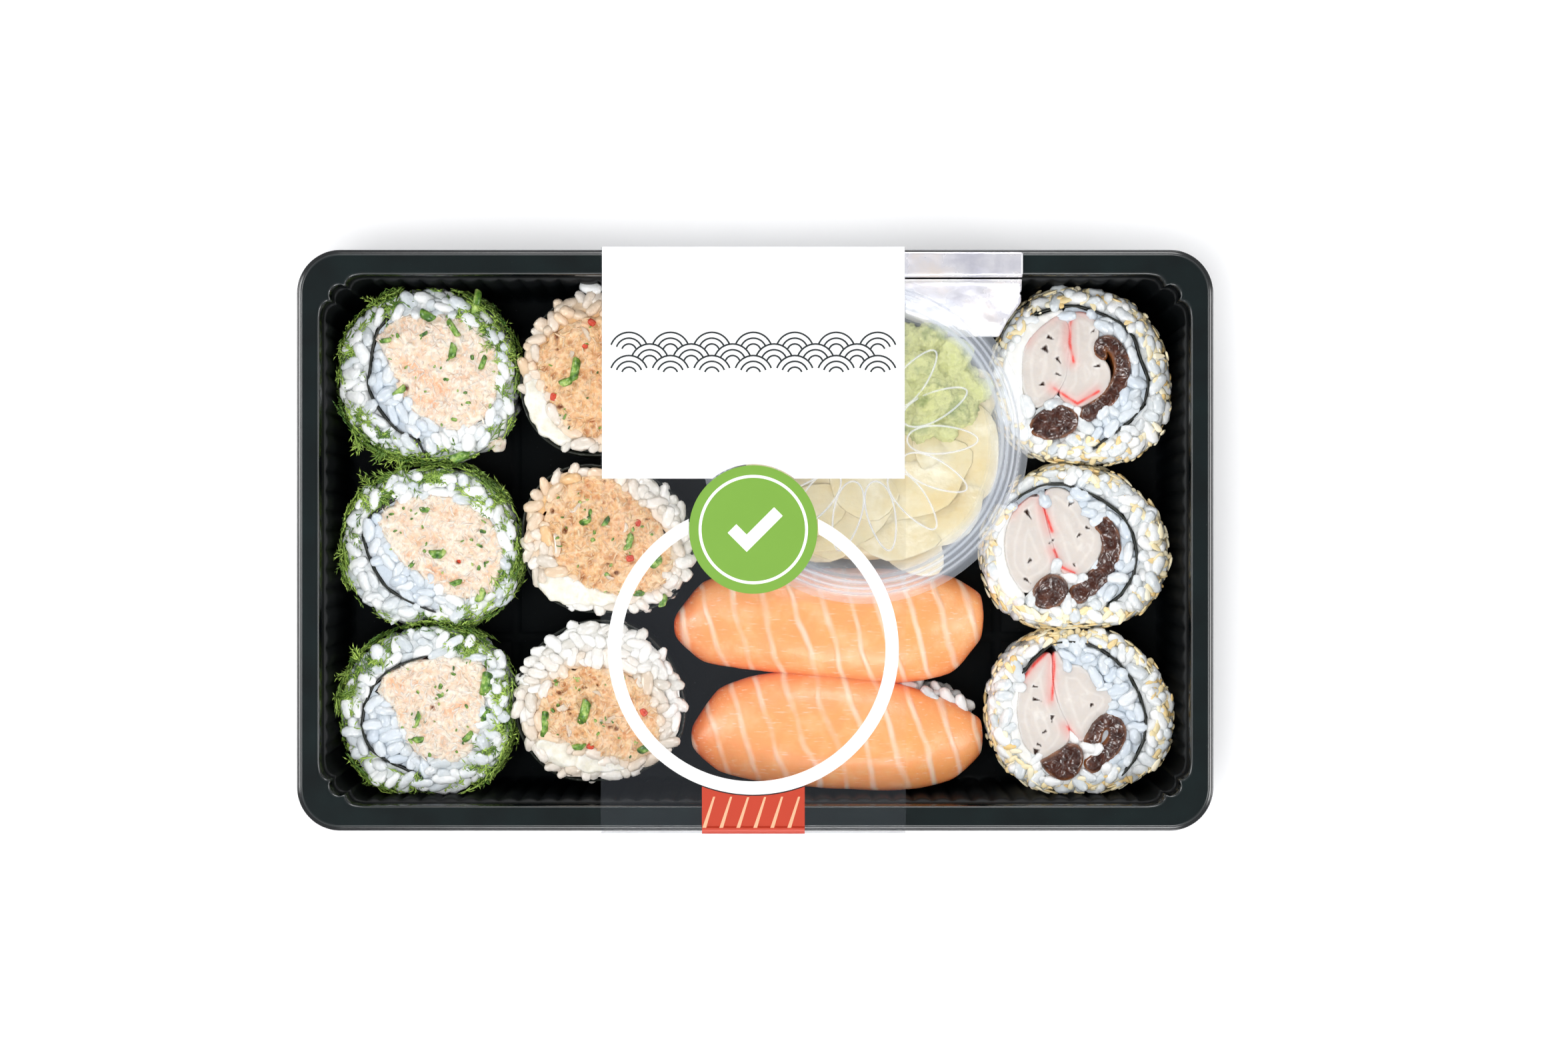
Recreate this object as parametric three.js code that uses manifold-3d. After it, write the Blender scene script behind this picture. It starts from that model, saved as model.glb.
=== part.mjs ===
import * as THREE from 'three';
import { mergeVertices } from 'three/addons/utils/BufferGeometryUtils.js';
import Module from 'manifold-3d';

// A takeaway sushi tray: an open black moulded tray with nine sushi rolls, two salmon
// nigiri, a clear lidded pot of wasabi and pickled ginger and a flat soy sauce sachet,
// held together by a clear printed film band that runs once round the tray.
// Millimetres, +Z up. The origin is on the table under the middle of the tray, and +X
// runs along its long side.

const wasm = await Module();
wasm.setup();

// ---------------------------------------------------------------- driving dimensions

const GAP = 0.3; // clearance between neighbouring pieces
const KEEP_OUT = [-5, 60]; // heights of a cutter that passes through everything

const TRAY = {
  length: 222, width: 140.8, top: 34, underside: 0.6, sheet: 0.8,
  corner: 10.5, rimLong: 6.1, rimShort: 5.5, skirt: 3, edgeRound: 0.7,
  draft: 3, cavityCorner: 11, flutePitch: 4.8, fluteDepth: 0.7, fluteTop: 27.5, ledge: 0.4,
  cornerScallops: 3, scallopDepth: 1.3,
  grooveWidth: 2.4, grooveDepth: 0.4, groovesAcross: [-60.5, 60.5], groovesAlong: [-24.6, 8.7, 49.6],
};
const FLOOR = TRAY.underside + TRAY.sheet;
const FOOD_BASE = FLOOR + GAP;

const BAND = { centre: -0.4, width: 73.6, sheet: 0.3, top: 35.9, round: 1.5 };
const PRINT = {
  sheet: 0.2, panelLength: 55, panelMargin: 0.3, stripWidth: 24.8,
  ringRadius: 35.1, ringStroke: 3.2, ringCentre: -26.4, badgeRadius: 15.5, badgeCentre: 2.6,
};

const POT = {
  x: 26.5, y: 24.4, baseRadius: 24.5, rimRadius: 32.9, rimHeight: 34.2, wall: 0.8,
  flangeRadius: 37.4, lidTop: 35.2, lidSheet: 0.6, recess: 31.2, sides: 26,
};
const SACHET = { left: 4, right: 64.8, outerEdge: 69.9, innerEdge: 49.6 };

const ROLL_TOP = 25;
const NORI = 0.7; // wet seaweed sheet, with the crumple it has round a roll
const GRAIN_RELIEF = 1.1;

const NIGIRI_TOP = 28.5;

// ---------------------------------------------------------------------- small helpers

// A repeatable random draw between 0 and 1.
function seeded(seed) {
  let state = seed;
  return () => {
    state = (state * 1664525 + 1013904223) % 4294967296;
    return state / 4294967296;
  };
}

// Catmull-Rom value between b and c, with neighbours a and d.
function blend(a, b, c, d, t) {
  return 0.5 * (2 * b + (c - a) * t + (2 * a - 5 * b + 4 * c - d) * t * t
    + (3 * b - a - 3 * c + d) * t * t * t);
}

// A closed smooth line through a few corner points, as [x, y] pairs.
function smoothLoop(points, count) {
  const corners = points.map(([x, y]) => new THREE.Vector3(x, y, 0));
  const curve = new THREE.CatmullRomCurve3(corners, true, 'centripetal');
  return curve.getSpacedPoints(count).slice(0, count).map((p) => [p.x, p.y]);
}

// An open smooth line through a few points.
function smoothPath(points, count) {
  const stops = points.map(([x, y]) => new THREE.Vector3(x, y, 0));
  const curve = new THREE.CatmullRomCurve3(stops, false, 'centripetal');
  return curve.getSpacedPoints(count - 1).map((p) => [p.x, p.y]);
}

function signedArea(loop) {
  return THREE.ShapeUtils.area(loop.map(([x, y]) => new THREE.Vector2(x, y)));
}

function counterClockwise(loop) {
  return signedArea(loop) < 0 ? [...loop].reverse() : loop;
}

// Moves a counter-clockwise outline outwards by a distance, keeping its edges parallel.
function grow(loop, distance) {
  return loop.map((point, i) => {
    const before = loop[(i + loop.length - 1) % loop.length];
    const after = loop[(i + 1) % loop.length];
    const a = new THREE.Vector2(point[1] - before[1], before[0] - point[0]).normalize();
    const b = new THREE.Vector2(after[1] - point[1], point[0] - after[0]).normalize();
    const middle = a.clone().add(b).normalize();
    const reach = distance / Math.max(middle.dot(a), 0.3);
    return [point[0] + middle.x * reach, point[1] + middle.y * reach];
  });
}

function moved(loop, [dx, dy]) {
  return loop.map(([x, y]) => [x + dx, y + dy]);
}

// The outline of a ribbon of one thickness that follows an open path.
function ribbon(path, thickness, extend = 0) {
  const left = [];
  const right = [];
  path.forEach((point, i) => {
    const before = path[Math.max(i - 1, 0)];
    const after = path[Math.min(i + 1, path.length - 1)];
    const along = new THREE.Vector2(after[0] - before[0], after[1] - before[1]).normalize();
    const push = (i === 0 ? -extend : 0) + (i === path.length - 1 ? extend : 0);
    const x = point[0] + along.x * push;
    const y = point[1] + along.y * push;
    left.push([x - along.y * thickness / 2, y + along.x * thickness / 2]);
    right.push([x + along.y * thickness / 2, y - along.x * thickness / 2]);
  });
  return counterClockwise([...left, ...right.reverse()]);
}

// A rounded rectangle, counter-clockwise, with a few steps in each corner.
function roundedRectangle(halfX, halfY, radius, steps = 4) {
  const loop = [];
  for (let corner = 0; corner < 4; corner++) {
    const signX = corner === 0 || corner === 3 ? 1 : -1;
    const signY = corner < 2 ? 1 : -1;
    for (let step = 0; step <= steps; step++) {
      const angle = (corner + step / steps) * Math.PI / 2;
      loop.push([
        signX * (halfX - radius) + radius * Math.cos(angle),
        signY * (halfY - radius) + radius * Math.sin(angle),
      ]);
    }
  }
  return loop;
}

const atHeight = (loop, z) => loop.map(([x, y]) => [x, y, z]);

// ------------------------------------------------------------------- solids and joins

// Turns a closed three.js geometry into a solid that can be joined and cut.
function solid(geometry, tolerance = 1e-5) {
  const bare = geometry.clone();
  bare.deleteAttribute('normal');
  bare.deleteAttribute('uv');
  const merged = mergeVertices(bare, tolerance);
  return new wasm.Manifold(new wasm.Mesh({
    numProp: 3,
    vertProperties: new Float32Array(merged.attributes.position.array),
    triVerts: new Uint32Array(merged.index.array),
  }));
}

// A closed skin through rings of equally many points, each end shut by a fan.
function loft(rings) {
  const count = rings[0].length;
  const points = rings.flat();
  const index = [];
  for (let level = 0; level + 1 < rings.length; level++) {
    for (let i = 0; i < count; i++) {
      const a = level * count + i;
      const b = level * count + (i + 1) % count;
      index.push(a, b, b + count, a, b + count, a + count);
    }
  }
  [[rings[0], 0, false], [rings.at(-1), (rings.length - 1) * count, true]].forEach(([ring, first, up]) => {
    const middle = [0, 1, 2].map((axis) => ring.reduce((sum, p) => sum + p[axis], 0) / count);
    points.push(middle);
    for (let i = 0; i < count; i++) {
      const a = first + i;
      const b = first + (i + 1) % count;
      index.push(...(up ? [a, b, points.length - 1] : [b, a, points.length - 1]));
    }
  });
  const geometry = new THREE.BufferGeometry();
  geometry.setAttribute('position', new THREE.Float32BufferAttribute(points.flat(), 3));
  geometry.setIndex(index);
  return solid(geometry);
}

// A straight-sided block of any outline between two heights.
function block(loop, bottom, top) {
  const shape = new THREE.Shape(loop.map(([x, y]) => new THREE.Vector2(x, y)));
  const geometry = new THREE.ExtrudeGeometry(shape, { depth: top - bottom, bevelEnabled: false });
  geometry.translate(0, 0, bottom);
  return solid(geometry);
}

// Keeps the main body of a cut piece and drops loose scraps.
function mainBody(piece) {
  return piece.decompose().reduce((best, part) => (part.volume() > best.volume() ? part : best));
}

// Rounds a solid to 0.002 mm and drops the slivers that this pinches off.
function settled(body) {
  const { vertProperties, triVerts } = body.getMesh();
  const geometry = new THREE.BufferGeometry();
  const rounded = Float32Array.from(vertProperties, (value) => Math.round(value * 500) / 500);
  geometry.setAttribute('position', new THREE.BufferAttribute(rounded, 3));
  geometry.setIndex(new THREE.BufferAttribute(new Uint32Array(triVerts), 1));
  return mainBody(solid(geometry, 1e-3));
}

// Pieces that lie against each other: each one is cut back by those before it, and all
// of them stay clear of the tray's walls.
function nest(pieces) {
  return pieces.map((piece, i) => {
    let body = piece.body.intersect(foodSpace);
    pieces.slice(0, i).forEach((earlier) => {
      if (earlier.keepOut) body = body.subtract(earlier.keepOut);
    });
    return { ...piece, body: mainBody(body) };
  });
}

function skin(name, hex, roughness, metalness = 0, opacity = 1) {
  const material = new THREE.MeshStandardMaterial({ color: hex, roughness, metalness, flatShading: true });
  material.name = name;
  material.opacity = opacity;
  material.transparent = opacity < 1;
  return material;
}

const tray = new THREE.Group();

// Adds a finished solid to the object as its own named mesh.
function add(name, body, material) {
  const { vertProperties, triVerts } = settled(body).getMesh();
  const geometry = new THREE.BufferGeometry();
  geometry.setAttribute('position', new THREE.BufferAttribute(new Float32Array(vertProperties), 3));
  geometry.setIndex(new THREE.BufferAttribute(new Uint32Array(triVerts), 1));
  geometry.computeVertexNormals();
  const mesh = new THREE.Mesh(geometry, material.clone());
  mesh.name = name;
  tray.add(mesh);
}

const SKINS = {
  tray: skin('black moulded tray', 0x16191b, 0.18),
  film: skin('clear film', 0xdfe6e8, 0.08, 0, 0.3),
  whitePrint: skin('white print', 0xffffff, 0.4),
  greenPrint: skin('green print', 0x86b942, 0.4),
  redPrint: skin('red print', 0xd8452f, 0.4),
  pot: skin('clear pot', 0xe6ecee, 0.06, 0, 0.3),
  ginger: skin('pickled ginger', 0xf1e8c4, 0.35),
  wasabi: skin('wasabi', 0xc5cf8d, 0.6),
  sachet: skin('silvery sachet', 0xe3e2e8, 0.25),
  rice: skin('boiled rice', 0xe3e8ea, 0.45),
  nori: skin('seaweed', 0x14160f, 0.5),
  paleFish: skin('pale fish paste', 0xf3dac6, 0.55),
  tunaFish: skin('seasoned fish paste', 0xe3b07f, 0.55),
  cream: skin('cream cheese', 0xf4f3ee, 0.5),
  surimi: skin('crab stick', 0xefebe4, 0.4),
  kanpyo: skin('braised gourd', 0x3a201a, 0.25),
  salmon: skin('raw salmon', 0xfba268, 0.35),
};

// ------------------------------------------------------------------------------- tray

const rimInnerX = TRAY.length / 2 - TRAY.rimShort;
const rimInnerY = TRAY.width / 2 - TRAY.rimLong;

// One level of the tray's inside: straight walls with flutes, corners with scallops.
function cavityRing(halfX, halfY, z) {
  const radius = TRAY.cavityCorner;
  const scallopSteps = 4;
  const ring = [];
  for (let side = 0; side < 4; side++) {
    const turn = side * Math.PI / 2;
    const [along, across] = side % 2 ? [halfX, halfY] : [halfY, halfX];
    const flutes = Math.round(2 * ((side % 2 ? rimInnerX : rimInnerY) - radius) / TRAY.flutePitch);
    const place = (outwards, sideways) => ring.push([
      outwards * Math.cos(turn) - sideways * Math.sin(turn),
      outwards * Math.sin(turn) + sideways * Math.cos(turn),
      z,
    ]);
    for (let i = 0; i < 2 * flutes; i++) {
      const depth = i % 2 ? 0 : TRAY.fluteDepth;
      place(across - depth, (along - radius) * (i / flutes - 1));
    }
    for (let i = 0; i < TRAY.cornerScallops * scallopSteps; i++) {
      const part = i / scallopSteps;
      const bulge = Math.sin(Math.PI * (part % 1));
      const reach = radius - TRAY.scallopDepth * (1 - bulge);
      const angle = part / TRAY.cornerScallops * Math.PI / 2;
      place(across - radius + reach * Math.cos(angle), along - radius + reach * Math.sin(angle));
    }
  }
  return ring;
}

// How far the drafted wall stands in from the rim's inner edge at a height.
function wallInset(z) {
  return TRAY.draft * (TRAY.top - z) / (TRAY.top - FLOOR);
}

// The space for food: the fluted cavity less a clearance.
const foodSpace = loft([FLOOR, TRAY.fluteTop, TRAY.top].map((z) => {
  const inset = wallInset(z) + TRAY.fluteDepth + GAP;
  return atHeight(roundedRectangle(rimInnerX - inset, rimInnerY - inset, TRAY.cavityCorner), z);
}));

function trayBody() {
  const halfX = TRAY.length / 2;
  const halfY = TRAY.width / 2;
  const outer = (inset, z) => atHeight(roundedRectangle(halfX - inset, halfY - inset, TRAY.corner - inset), z);
  const rim = loft([
    outer(0, TRAY.top - TRAY.skirt),
    outer(0, TRAY.top - TRAY.edgeRound),
    outer(TRAY.edgeRound, TRAY.top),
  ]);
  const underRim = loft([
    outer(TRAY.sheet, TRAY.top - TRAY.skirt - 1),
    outer(TRAY.sheet, TRAY.top - TRAY.sheet),
  ]);
  const wallRing = (z, inset) => atHeight(
    roundedRectangle(rimInnerX - inset, rimInnerY - inset, TRAY.cavityCorner + TRAY.ledge), z,
  );
  const outside = (z) => wallRing(z, wallInset(z) - TRAY.sheet - TRAY.ledge / 2);
  const wall = loft([outside(TRAY.underside), outside(TRAY.top - TRAY.sheet / 2)]);
  const fluted = loft([FLOOR, TRAY.fluteTop].map((z) => {
    const inset = wallInset(z);
    return cavityRing(rimInnerX - inset, rimInnerY - inset, z);
  }));
  const plainBand = loft([
    wallRing(TRAY.fluteTop - 0.2, wallInset(TRAY.fluteTop) - TRAY.ledge),
    wallRing(TRAY.top + 1, 0),
  ]);
  let body = rim.subtract(underRim).add(wall).subtract(fluted).subtract(plainBand);
  const grooveReach = TRAY.grooveWidth / 2;
  const groove = (x0, y0, x1, y1) => block(
    [[x0, y0], [x1, y0], [x1, y1], [x0, y1]], FLOOR - TRAY.grooveDepth, FLOOR + 1,
  );
  const endX = rimInnerX - TRAY.draft - 6;
  const endY = rimInnerY - TRAY.draft - 6;
  TRAY.groovesAcross.forEach((x) => {
    body = body.subtract(groove(x - grooveReach, -endY, x + grooveReach, endY));
  });
  TRAY.groovesAlong.forEach((y) => {
    body = body.subtract(groove(-endX, y - grooveReach, endX, y + grooveReach));
  });
  return body;
}

// ------------------------------------------------------------------------- film band

// The band is a closed loop of film, drawn in the plane across the tray and pushed
// along X; its flat underside is what the tray stands on.
function bandBody() {
  const outer = roundedRectangle(TRAY.width / 2 + GAP + BAND.sheet, BAND.top / 2, BAND.round, 3);
  const inner = roundedRectangle(
    TRAY.width / 2 + GAP, BAND.top / 2 - BAND.sheet, BAND.round - BAND.sheet, 3,
  );
  const side = (loop) => block(moved(loop, [0, BAND.top / 2]), 0, BAND.width);
  const loop = side(outer).subtract(block(moved(inner, [0, BAND.top / 2]), -1, BAND.width + 1));
  return loop.rotate([90, 0, 90]).translate([BAND.centre - BAND.width / 2, 0, 0]);
}

const circle = (x, y, radius, count) => Array.from({ length: count }, (_, i) => {
  const angle = 2 * Math.PI * i / count;
  return [x + radius * Math.cos(angle), y + radius * Math.sin(angle)];
});

const rectangle = (x0, y0, x1, y1) => [[x0, y0], [x1, y0], [x1, y1], [x0, y1]];

function addPrint() {
  const low = BAND.top + GAP;
  const high = low + PRINT.sheet;
  const left = BAND.centre - BAND.width / 2 + PRINT.panelMargin;
  const right = BAND.centre + BAND.width / 2 - PRINT.panelMargin;
  const far = TRAY.width / 2 - BAND.round;
  const badge = circle(BAND.centre, PRINT.badgeCentre, PRINT.badgeRadius, 32);
  const ring = block(circle(BAND.centre, PRINT.ringCentre, PRINT.ringRadius, 38), low, high)
    .subtract(block(circle(BAND.centre, PRINT.ringCentre, PRINT.ringRadius - PRINT.ringStroke, 38), ...KEEP_OUT))
    .subtract(block(grow(badge, GAP), ...KEEP_OUT));
  const ringKeepOut = block(circle(BAND.centre, PRINT.ringCentre, PRINT.ringRadius + GAP, 38), ...KEEP_OUT);
  const stripHalf = PRINT.stripWidth / 2;
  const strip = block(
    rectangle(BAND.centre - stripHalf, -far, BAND.centre + stripHalf, PRINT.ringCentre), low, high,
  ).subtract(ringKeepOut);
  const panel = block(rectangle(left, far + 1 - PRINT.panelLength, right, far), low, high)
    .subtract(block(grow(badge, GAP), ...KEEP_OUT));
  add('label_panel', panel, SKINS.whitePrint);
  add('label_badge', block(badge, low, high), SKINS.greenPrint);
  add('label_ring', mainBody(ring), SKINS.whitePrint);
  add('label_strip', mainBody(strip), SKINS.redPrint);
}

// -------------------------------------------------------------------------------- pot

function turned(profile) {
  const points = profile.map(([r, z]) => new THREE.Vector2(r, z));
  const geometry = new THREE.LatheGeometry(points, POT.sides);
  geometry.rotateX(Math.PI / 2);
  geometry.translate(POT.x, POT.y, 0);
  return solid(geometry);
}

const potInnerRadius = (z) => POT.baseRadius - POT.wall
  + (POT.rimRadius - POT.baseRadius) * (z - FOOD_BASE) / (POT.rimHeight - FOOD_BASE);

function potCup() {
  const top = POT.rimHeight;
  const floor = FOOD_BASE + POT.wall;
  return turned([
    [0, FOOD_BASE], [POT.baseRadius, FOOD_BASE],
    [POT.rimRadius, top - 0.8], [POT.rimRadius + 1, top - 0.7], [POT.rimRadius + 1, top],
    [POT.rimRadius - POT.wall, top], [potInnerRadius(floor), floor], [0, floor],
  ]);
}

// The lid's flange stands out round the cup, a hollow ridge snaps over the cup's rim,
// and the middle is a flat panel sunk inside the cup.
function potLid() {
  const { lidTop: top, lidSheet: sheet, recess, flangeRadius: flange, rimRadius: rim } = POT;
  return turned([
    [0, recess - sheet], [rim - 2.5, recess - sheet],
    [rim - 1.2, top - sheet], [rim + 1.5, top - sheet], [rim + 2, top - 2.8], [flange, top - 2.8],
    [flange, top - 2.1], [rim + 2.8, top - 2], [rim + 2, top],
    [rim - 1.7, top], [rim - 3.1, recess], [0, recess],
  ]);
}

// A soft heap inside the cup: wavy folds of sliced ginger, cut round the wasabi.
const WASABI = { x: 12.5, y: 12, z: 24.2, wide: 17, deep: 15.5, high: 5.2, sides: 14 };
const GINGER = { top: 23.2, fold: 1.5, sides: 20 };

function wasabiBody(growth) {
  const random = seeded(41);
  const sphere = new THREE.SphereGeometry(1, WASABI.sides, 7);
  sphere.rotateX(Math.PI / 2);
  const position = sphere.attributes.position;
  const lumps = Array.from({ length: 7 }, () => new THREE.Vector3(
    random() - 0.5, random() - 0.5, random() - 0.5,
  ).normalize());
  for (let i = 0; i < position.count; i++) {
    const direction = new THREE.Vector3().fromBufferAttribute(position, i);
    const wave = lumps.reduce((sum, lump, k) => sum + Math.sin((3 + k % 3) * direction.dot(lump) * 2 + k), 0);
    const reach = 1 + 0.035 * wave;
    position.setXYZ(
      i,
      POT.x + WASABI.x + direction.x * (WASABI.wide * reach + growth),
      POT.y + WASABI.y + direction.y * (WASABI.deep * reach + growth),
      WASABI.z + direction.z * (WASABI.high * reach + growth),
    );
  }
  return solid(sphere);
}

function potSpace(growth = 0) {
  const floor = FOOD_BASE + POT.wall + GAP;
  const radius = (z) => potInnerRadius(z) - GAP + growth;
  return turned([
    [0, floor], [radius(floor), floor], [radius(POT.recess - 1), POT.recess - 1], [0, POT.recess - 1],
  ]);
}

function gingerBody() {
  const fold = (angle, r) => GINGER.fold * Math.sin(5 * angle + 0.35 * r) * (0.4 + 0.6 * r / 27);
  const ring = (share, z) => Array.from({ length: GINGER.sides }, (_, i) => {
    const angle = 2 * Math.PI * i / GINGER.sides;
    const height = z ?? GINGER.top + fold(angle, share * 27);
    const r = share * (potInnerRadius(height) - 2 * GAP);
    return [POT.x + r * Math.cos(angle), POT.y + r * Math.sin(angle), height];
  });
  return loft([ring(0.98, FOOD_BASE + POT.wall + GAP), ring(0.99), ring(0.75), ring(0.45), ring(0.15)]);
}

function addPot() {
  add('pot_cup', potCup(), SKINS.pot);
  add('pot_lid', potLid(), SKINS.pot);
  const space = potSpace();
  add('wasabi', mainBody(wasabiBody(0).intersect(space)), SKINS.wasabi);
  add('ginger', mainBody(gingerBody().subtract(wasabiBody(2 * GAP))), SKINS.ginger);
}

// ----------------------------------------------------------------------------- sachet

// Sections across the sachet: a thin sealed edge over the tray's rim, a bend down past
// the lid's flange and a soft filled body below it.
function sachetBody(rollKeepOut) {
  const rim = TRAY.top + GAP;
  const bend = rimInnerY - 1.4;
  const stations = 7;
  const sections = [];
  for (let i = 0; i < stations; i++) {
    const share = i / (stations - 1);
    const x = SACHET.left + (SACHET.right - SACHET.left) * share;
    const seal = Math.min(1, Math.min(share, 1 - share) / 0.2);
    const fill = 0.25 + 0.75 * Math.sin(seal * Math.PI / 2);
    const lip = 0.9;
    const fat = 4.4 * fill;
    sections.push([
      [x, SACHET.outerEdge, rim], [x, SACHET.outerEdge, rim + lip], [x, bend + 1.2, rim + lip],
      [x, bend - 0.4, 31.9], [x, bend - 4, 29.2 + fat * 0.3], [x, 55, 26.8 + fat * 0.45],
      [x, SACHET.innerEdge, 25.9], [x, SACHET.innerEdge, 25.4], [x, 55, 26.6 - fat * 0.5],
      [x, bend - 4, 28.6 - fat * 0.4], [x, bend, 30.4], [x, bend + 0.8, rim],
    ]);
  }
  const envelope = turned([
    [0, 0], [POT.baseRadius + GAP, 0], [POT.rimRadius + 1.3, POT.rimHeight], [0, POT.rimHeight],
  ]).add(turned([
    [0, POT.recess], [POT.rimRadius + 3.1, POT.recess + 0.6], [POT.flangeRadius + GAP, POT.lidTop - 3.1],
    [POT.flangeRadius + GAP, 60], [0, 60],
  ]));
  return mainBody(loft(sections).subtract(envelope).subtract(rollKeepOut));
}

// ------------------------------------------------------------------------------ rolls

// How far a roll reaches from its middle, from twelve clock positions 30 degrees apart.
function reachAt(reach, angle) {
  const place = (angle / (2 * Math.PI) * reach.length + 2 * reach.length) % reach.length;
  const i = Math.floor(place);
  const at = (k) => reach[(k + reach.length) % reach.length];
  return blend(at(i - 1), at(i), at(i + 1), at(i + 2), place - i);
}

function rollLoop(roll, inset, count, share = 1) {
  return Array.from({ length: count }, (_, i) => {
    const angle = 2 * Math.PI * i / count;
    const r = (reachAt(roll.reach, angle) - inset) * share;
    return [roll.at[0] + r * Math.cos(angle), roll.at[1] + r * Math.sin(angle)];
  });
}

// Pressed rice: a drum with bumps of grain size, smaller at the foot, with a rolled edge.
function riceDrum(roll, inset, levels, count, relief) {
  const random = seeded(roll.seed);
  const rings = levels.map(([height, share], level) => {
    const stagger = level % 2 ? Math.PI / count : 0;
    const upper = share < 0.88 && level > 1;
    return Array.from({ length: count }, (_, i) => {
      const angle = 2 * Math.PI * i / count + stagger;
      const dent = upper || level === 0 ? 0 : relief * random();
      const lift = upper ? (random() - 0.6) * relief : 0;
      const r = (reachAt(roll.reach, angle) - inset - dent) * share;
      return [roll.at[0] + r * Math.cos(angle), roll.at[1] + r * Math.sin(angle), height + lift];
    });
  });
  return loft(rings);
}

const COATED_LEVELS = [
  [FOOD_BASE, 0.94], [7.5, 0.985], [14.5, 1], [21.5, 0.985], [24.7, 0.9], [25.2, 0.72],
];
const WRAPPED_LEVELS = [[FOOD_BASE, 0.96], [23.8, 0.995], [25, 0.86], [25.2, 0.7]];

// A layer that runs through the roll from the foot to the cut face.
function filling(roll, points, count, top) {
  const loop = counterClockwise(smoothLoop(moved(points, roll.at), count));
  return {
    body: block(loop, FOOD_BASE, top),
    keepOut: block(grow(loop, GAP), ...KEEP_OUT),
  };
}

function sheetOf(roll, points, thickness, count, top) {
  const path = smoothPath(moved(points, roll.at), count);
  return {
    body: block(ribbon(path, thickness), FOOD_BASE, top),
    keepOut: block(ribbon(path, thickness + 2 * GAP, GAP), ...KEEP_OUT),
  };
}

// Small toppings pressed into a roll's rim: each is fused to the rice.
function scatter(rice, roll, count, shape, sway) {
  const random = seeded(roll.seed + 7);
  let body = rice;
  for (let i = 0; i < count; i++) {
    const angle = 2 * Math.PI * (i + 0.6 * random()) / count;
    const onTop = i % 2 === 0;
    const r = reachAt(roll.reach, angle) * (onTop ? 0.93 : 0.985) - (onTop ? 0.4 : 0.9);
    const z = onTop ? 24.2 : 21.6;
    const topping = shape.clone();
    topping.rotateX(onTop ? -0.5 : -1.2);
    topping.rotateZ(angle + Math.PI / 2 + (random() - 0.5) * sway);
    topping.translate(roll.at[0] + r * Math.cos(angle), roll.at[1] + r * Math.sin(angle), z);
    body = body.add(solid(topping));
  }
  return mainBody(body);
}

const SESAME_SEED = new THREE.IcosahedronGeometry(0.5, 0).scale(3.2, 2, 1.2);
const DILL_SPRIG = new THREE.BoxGeometry(5.5, 1.1, 0.8);

// Rice outside, dill pressed round it, a seaweed sheet curling in to pale fish paste.
const DILL_ROLLS = [
  {
    at: [-80.5, 41], seed: 11,
    reach: [21.3, 21.3, 21, 20.6, 21.3, 21.6, 21.4, 22.6, 22, 20.5, 23, 23.4],
    paste: [[-12, 8.5], [-5.5, 14], [2.5, 14.5], [11.5, 11], [17.5, 5], [17.5, -3], [13.5, -12], [7, -14],
      [0, -11.5], [-6.5, -5], [-9.5, 3.5]],
    nori: [[-9, 14], [-12.5, 9.5], [-13.5, 2.5], [-14.5, -4], [-11.5, -9], [-7, -14.5], [-1.5, -16.5], [-0.5, -20]],
  },
  {
    at: [-80, -1], seed: 12,
    reach: [21.2, 20.8, 20, 18.8, 18.8, 21.4, 21.3, 21.6, 21, 18.6, 21.4, 22.6],
    paste: [[-12.5, 6.5], [-5.5, 11], [3.5, 11.5], [12, 8], [17.5, 2], [17.5, -5], [15.5, -12], [9, -13.3],
      [3, -11.5], [-1, -8], [-5.5, -6], [-9.5, 0]],
    nori: [[-7.5, 11.5], [-13, 8], [-16, 5], [-16, 1], [-14, -4.5], [-11, -10], [-6, -13.5], [2, -16.8]],
  },
  {
    at: [-81, -41.6], seed: 13,
    reach: [20.8, 22, 21, 20.2, 20, 21, 21, 22, 22, 20.2, 21.6, 22.2],
    paste: [[-12, 4.5], [-8.5, 9.5], [0, 12.3], [9.5, 12.6], [15.4, 10], [14, 2], [12.5, -7], [10.5, -12.3],
      [3, -12], [-3, -9.5], [-6, -3], [-7.5, 2]],
    nori: [[1, 13.3], [-6.5, 11], [-12, 7], [-14.5, 1.5], [-16, -2], [-14.5, -6.5], [-13, -10.5], [-6.5, -13.5],
      [0, -17]],
  },
];

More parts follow.
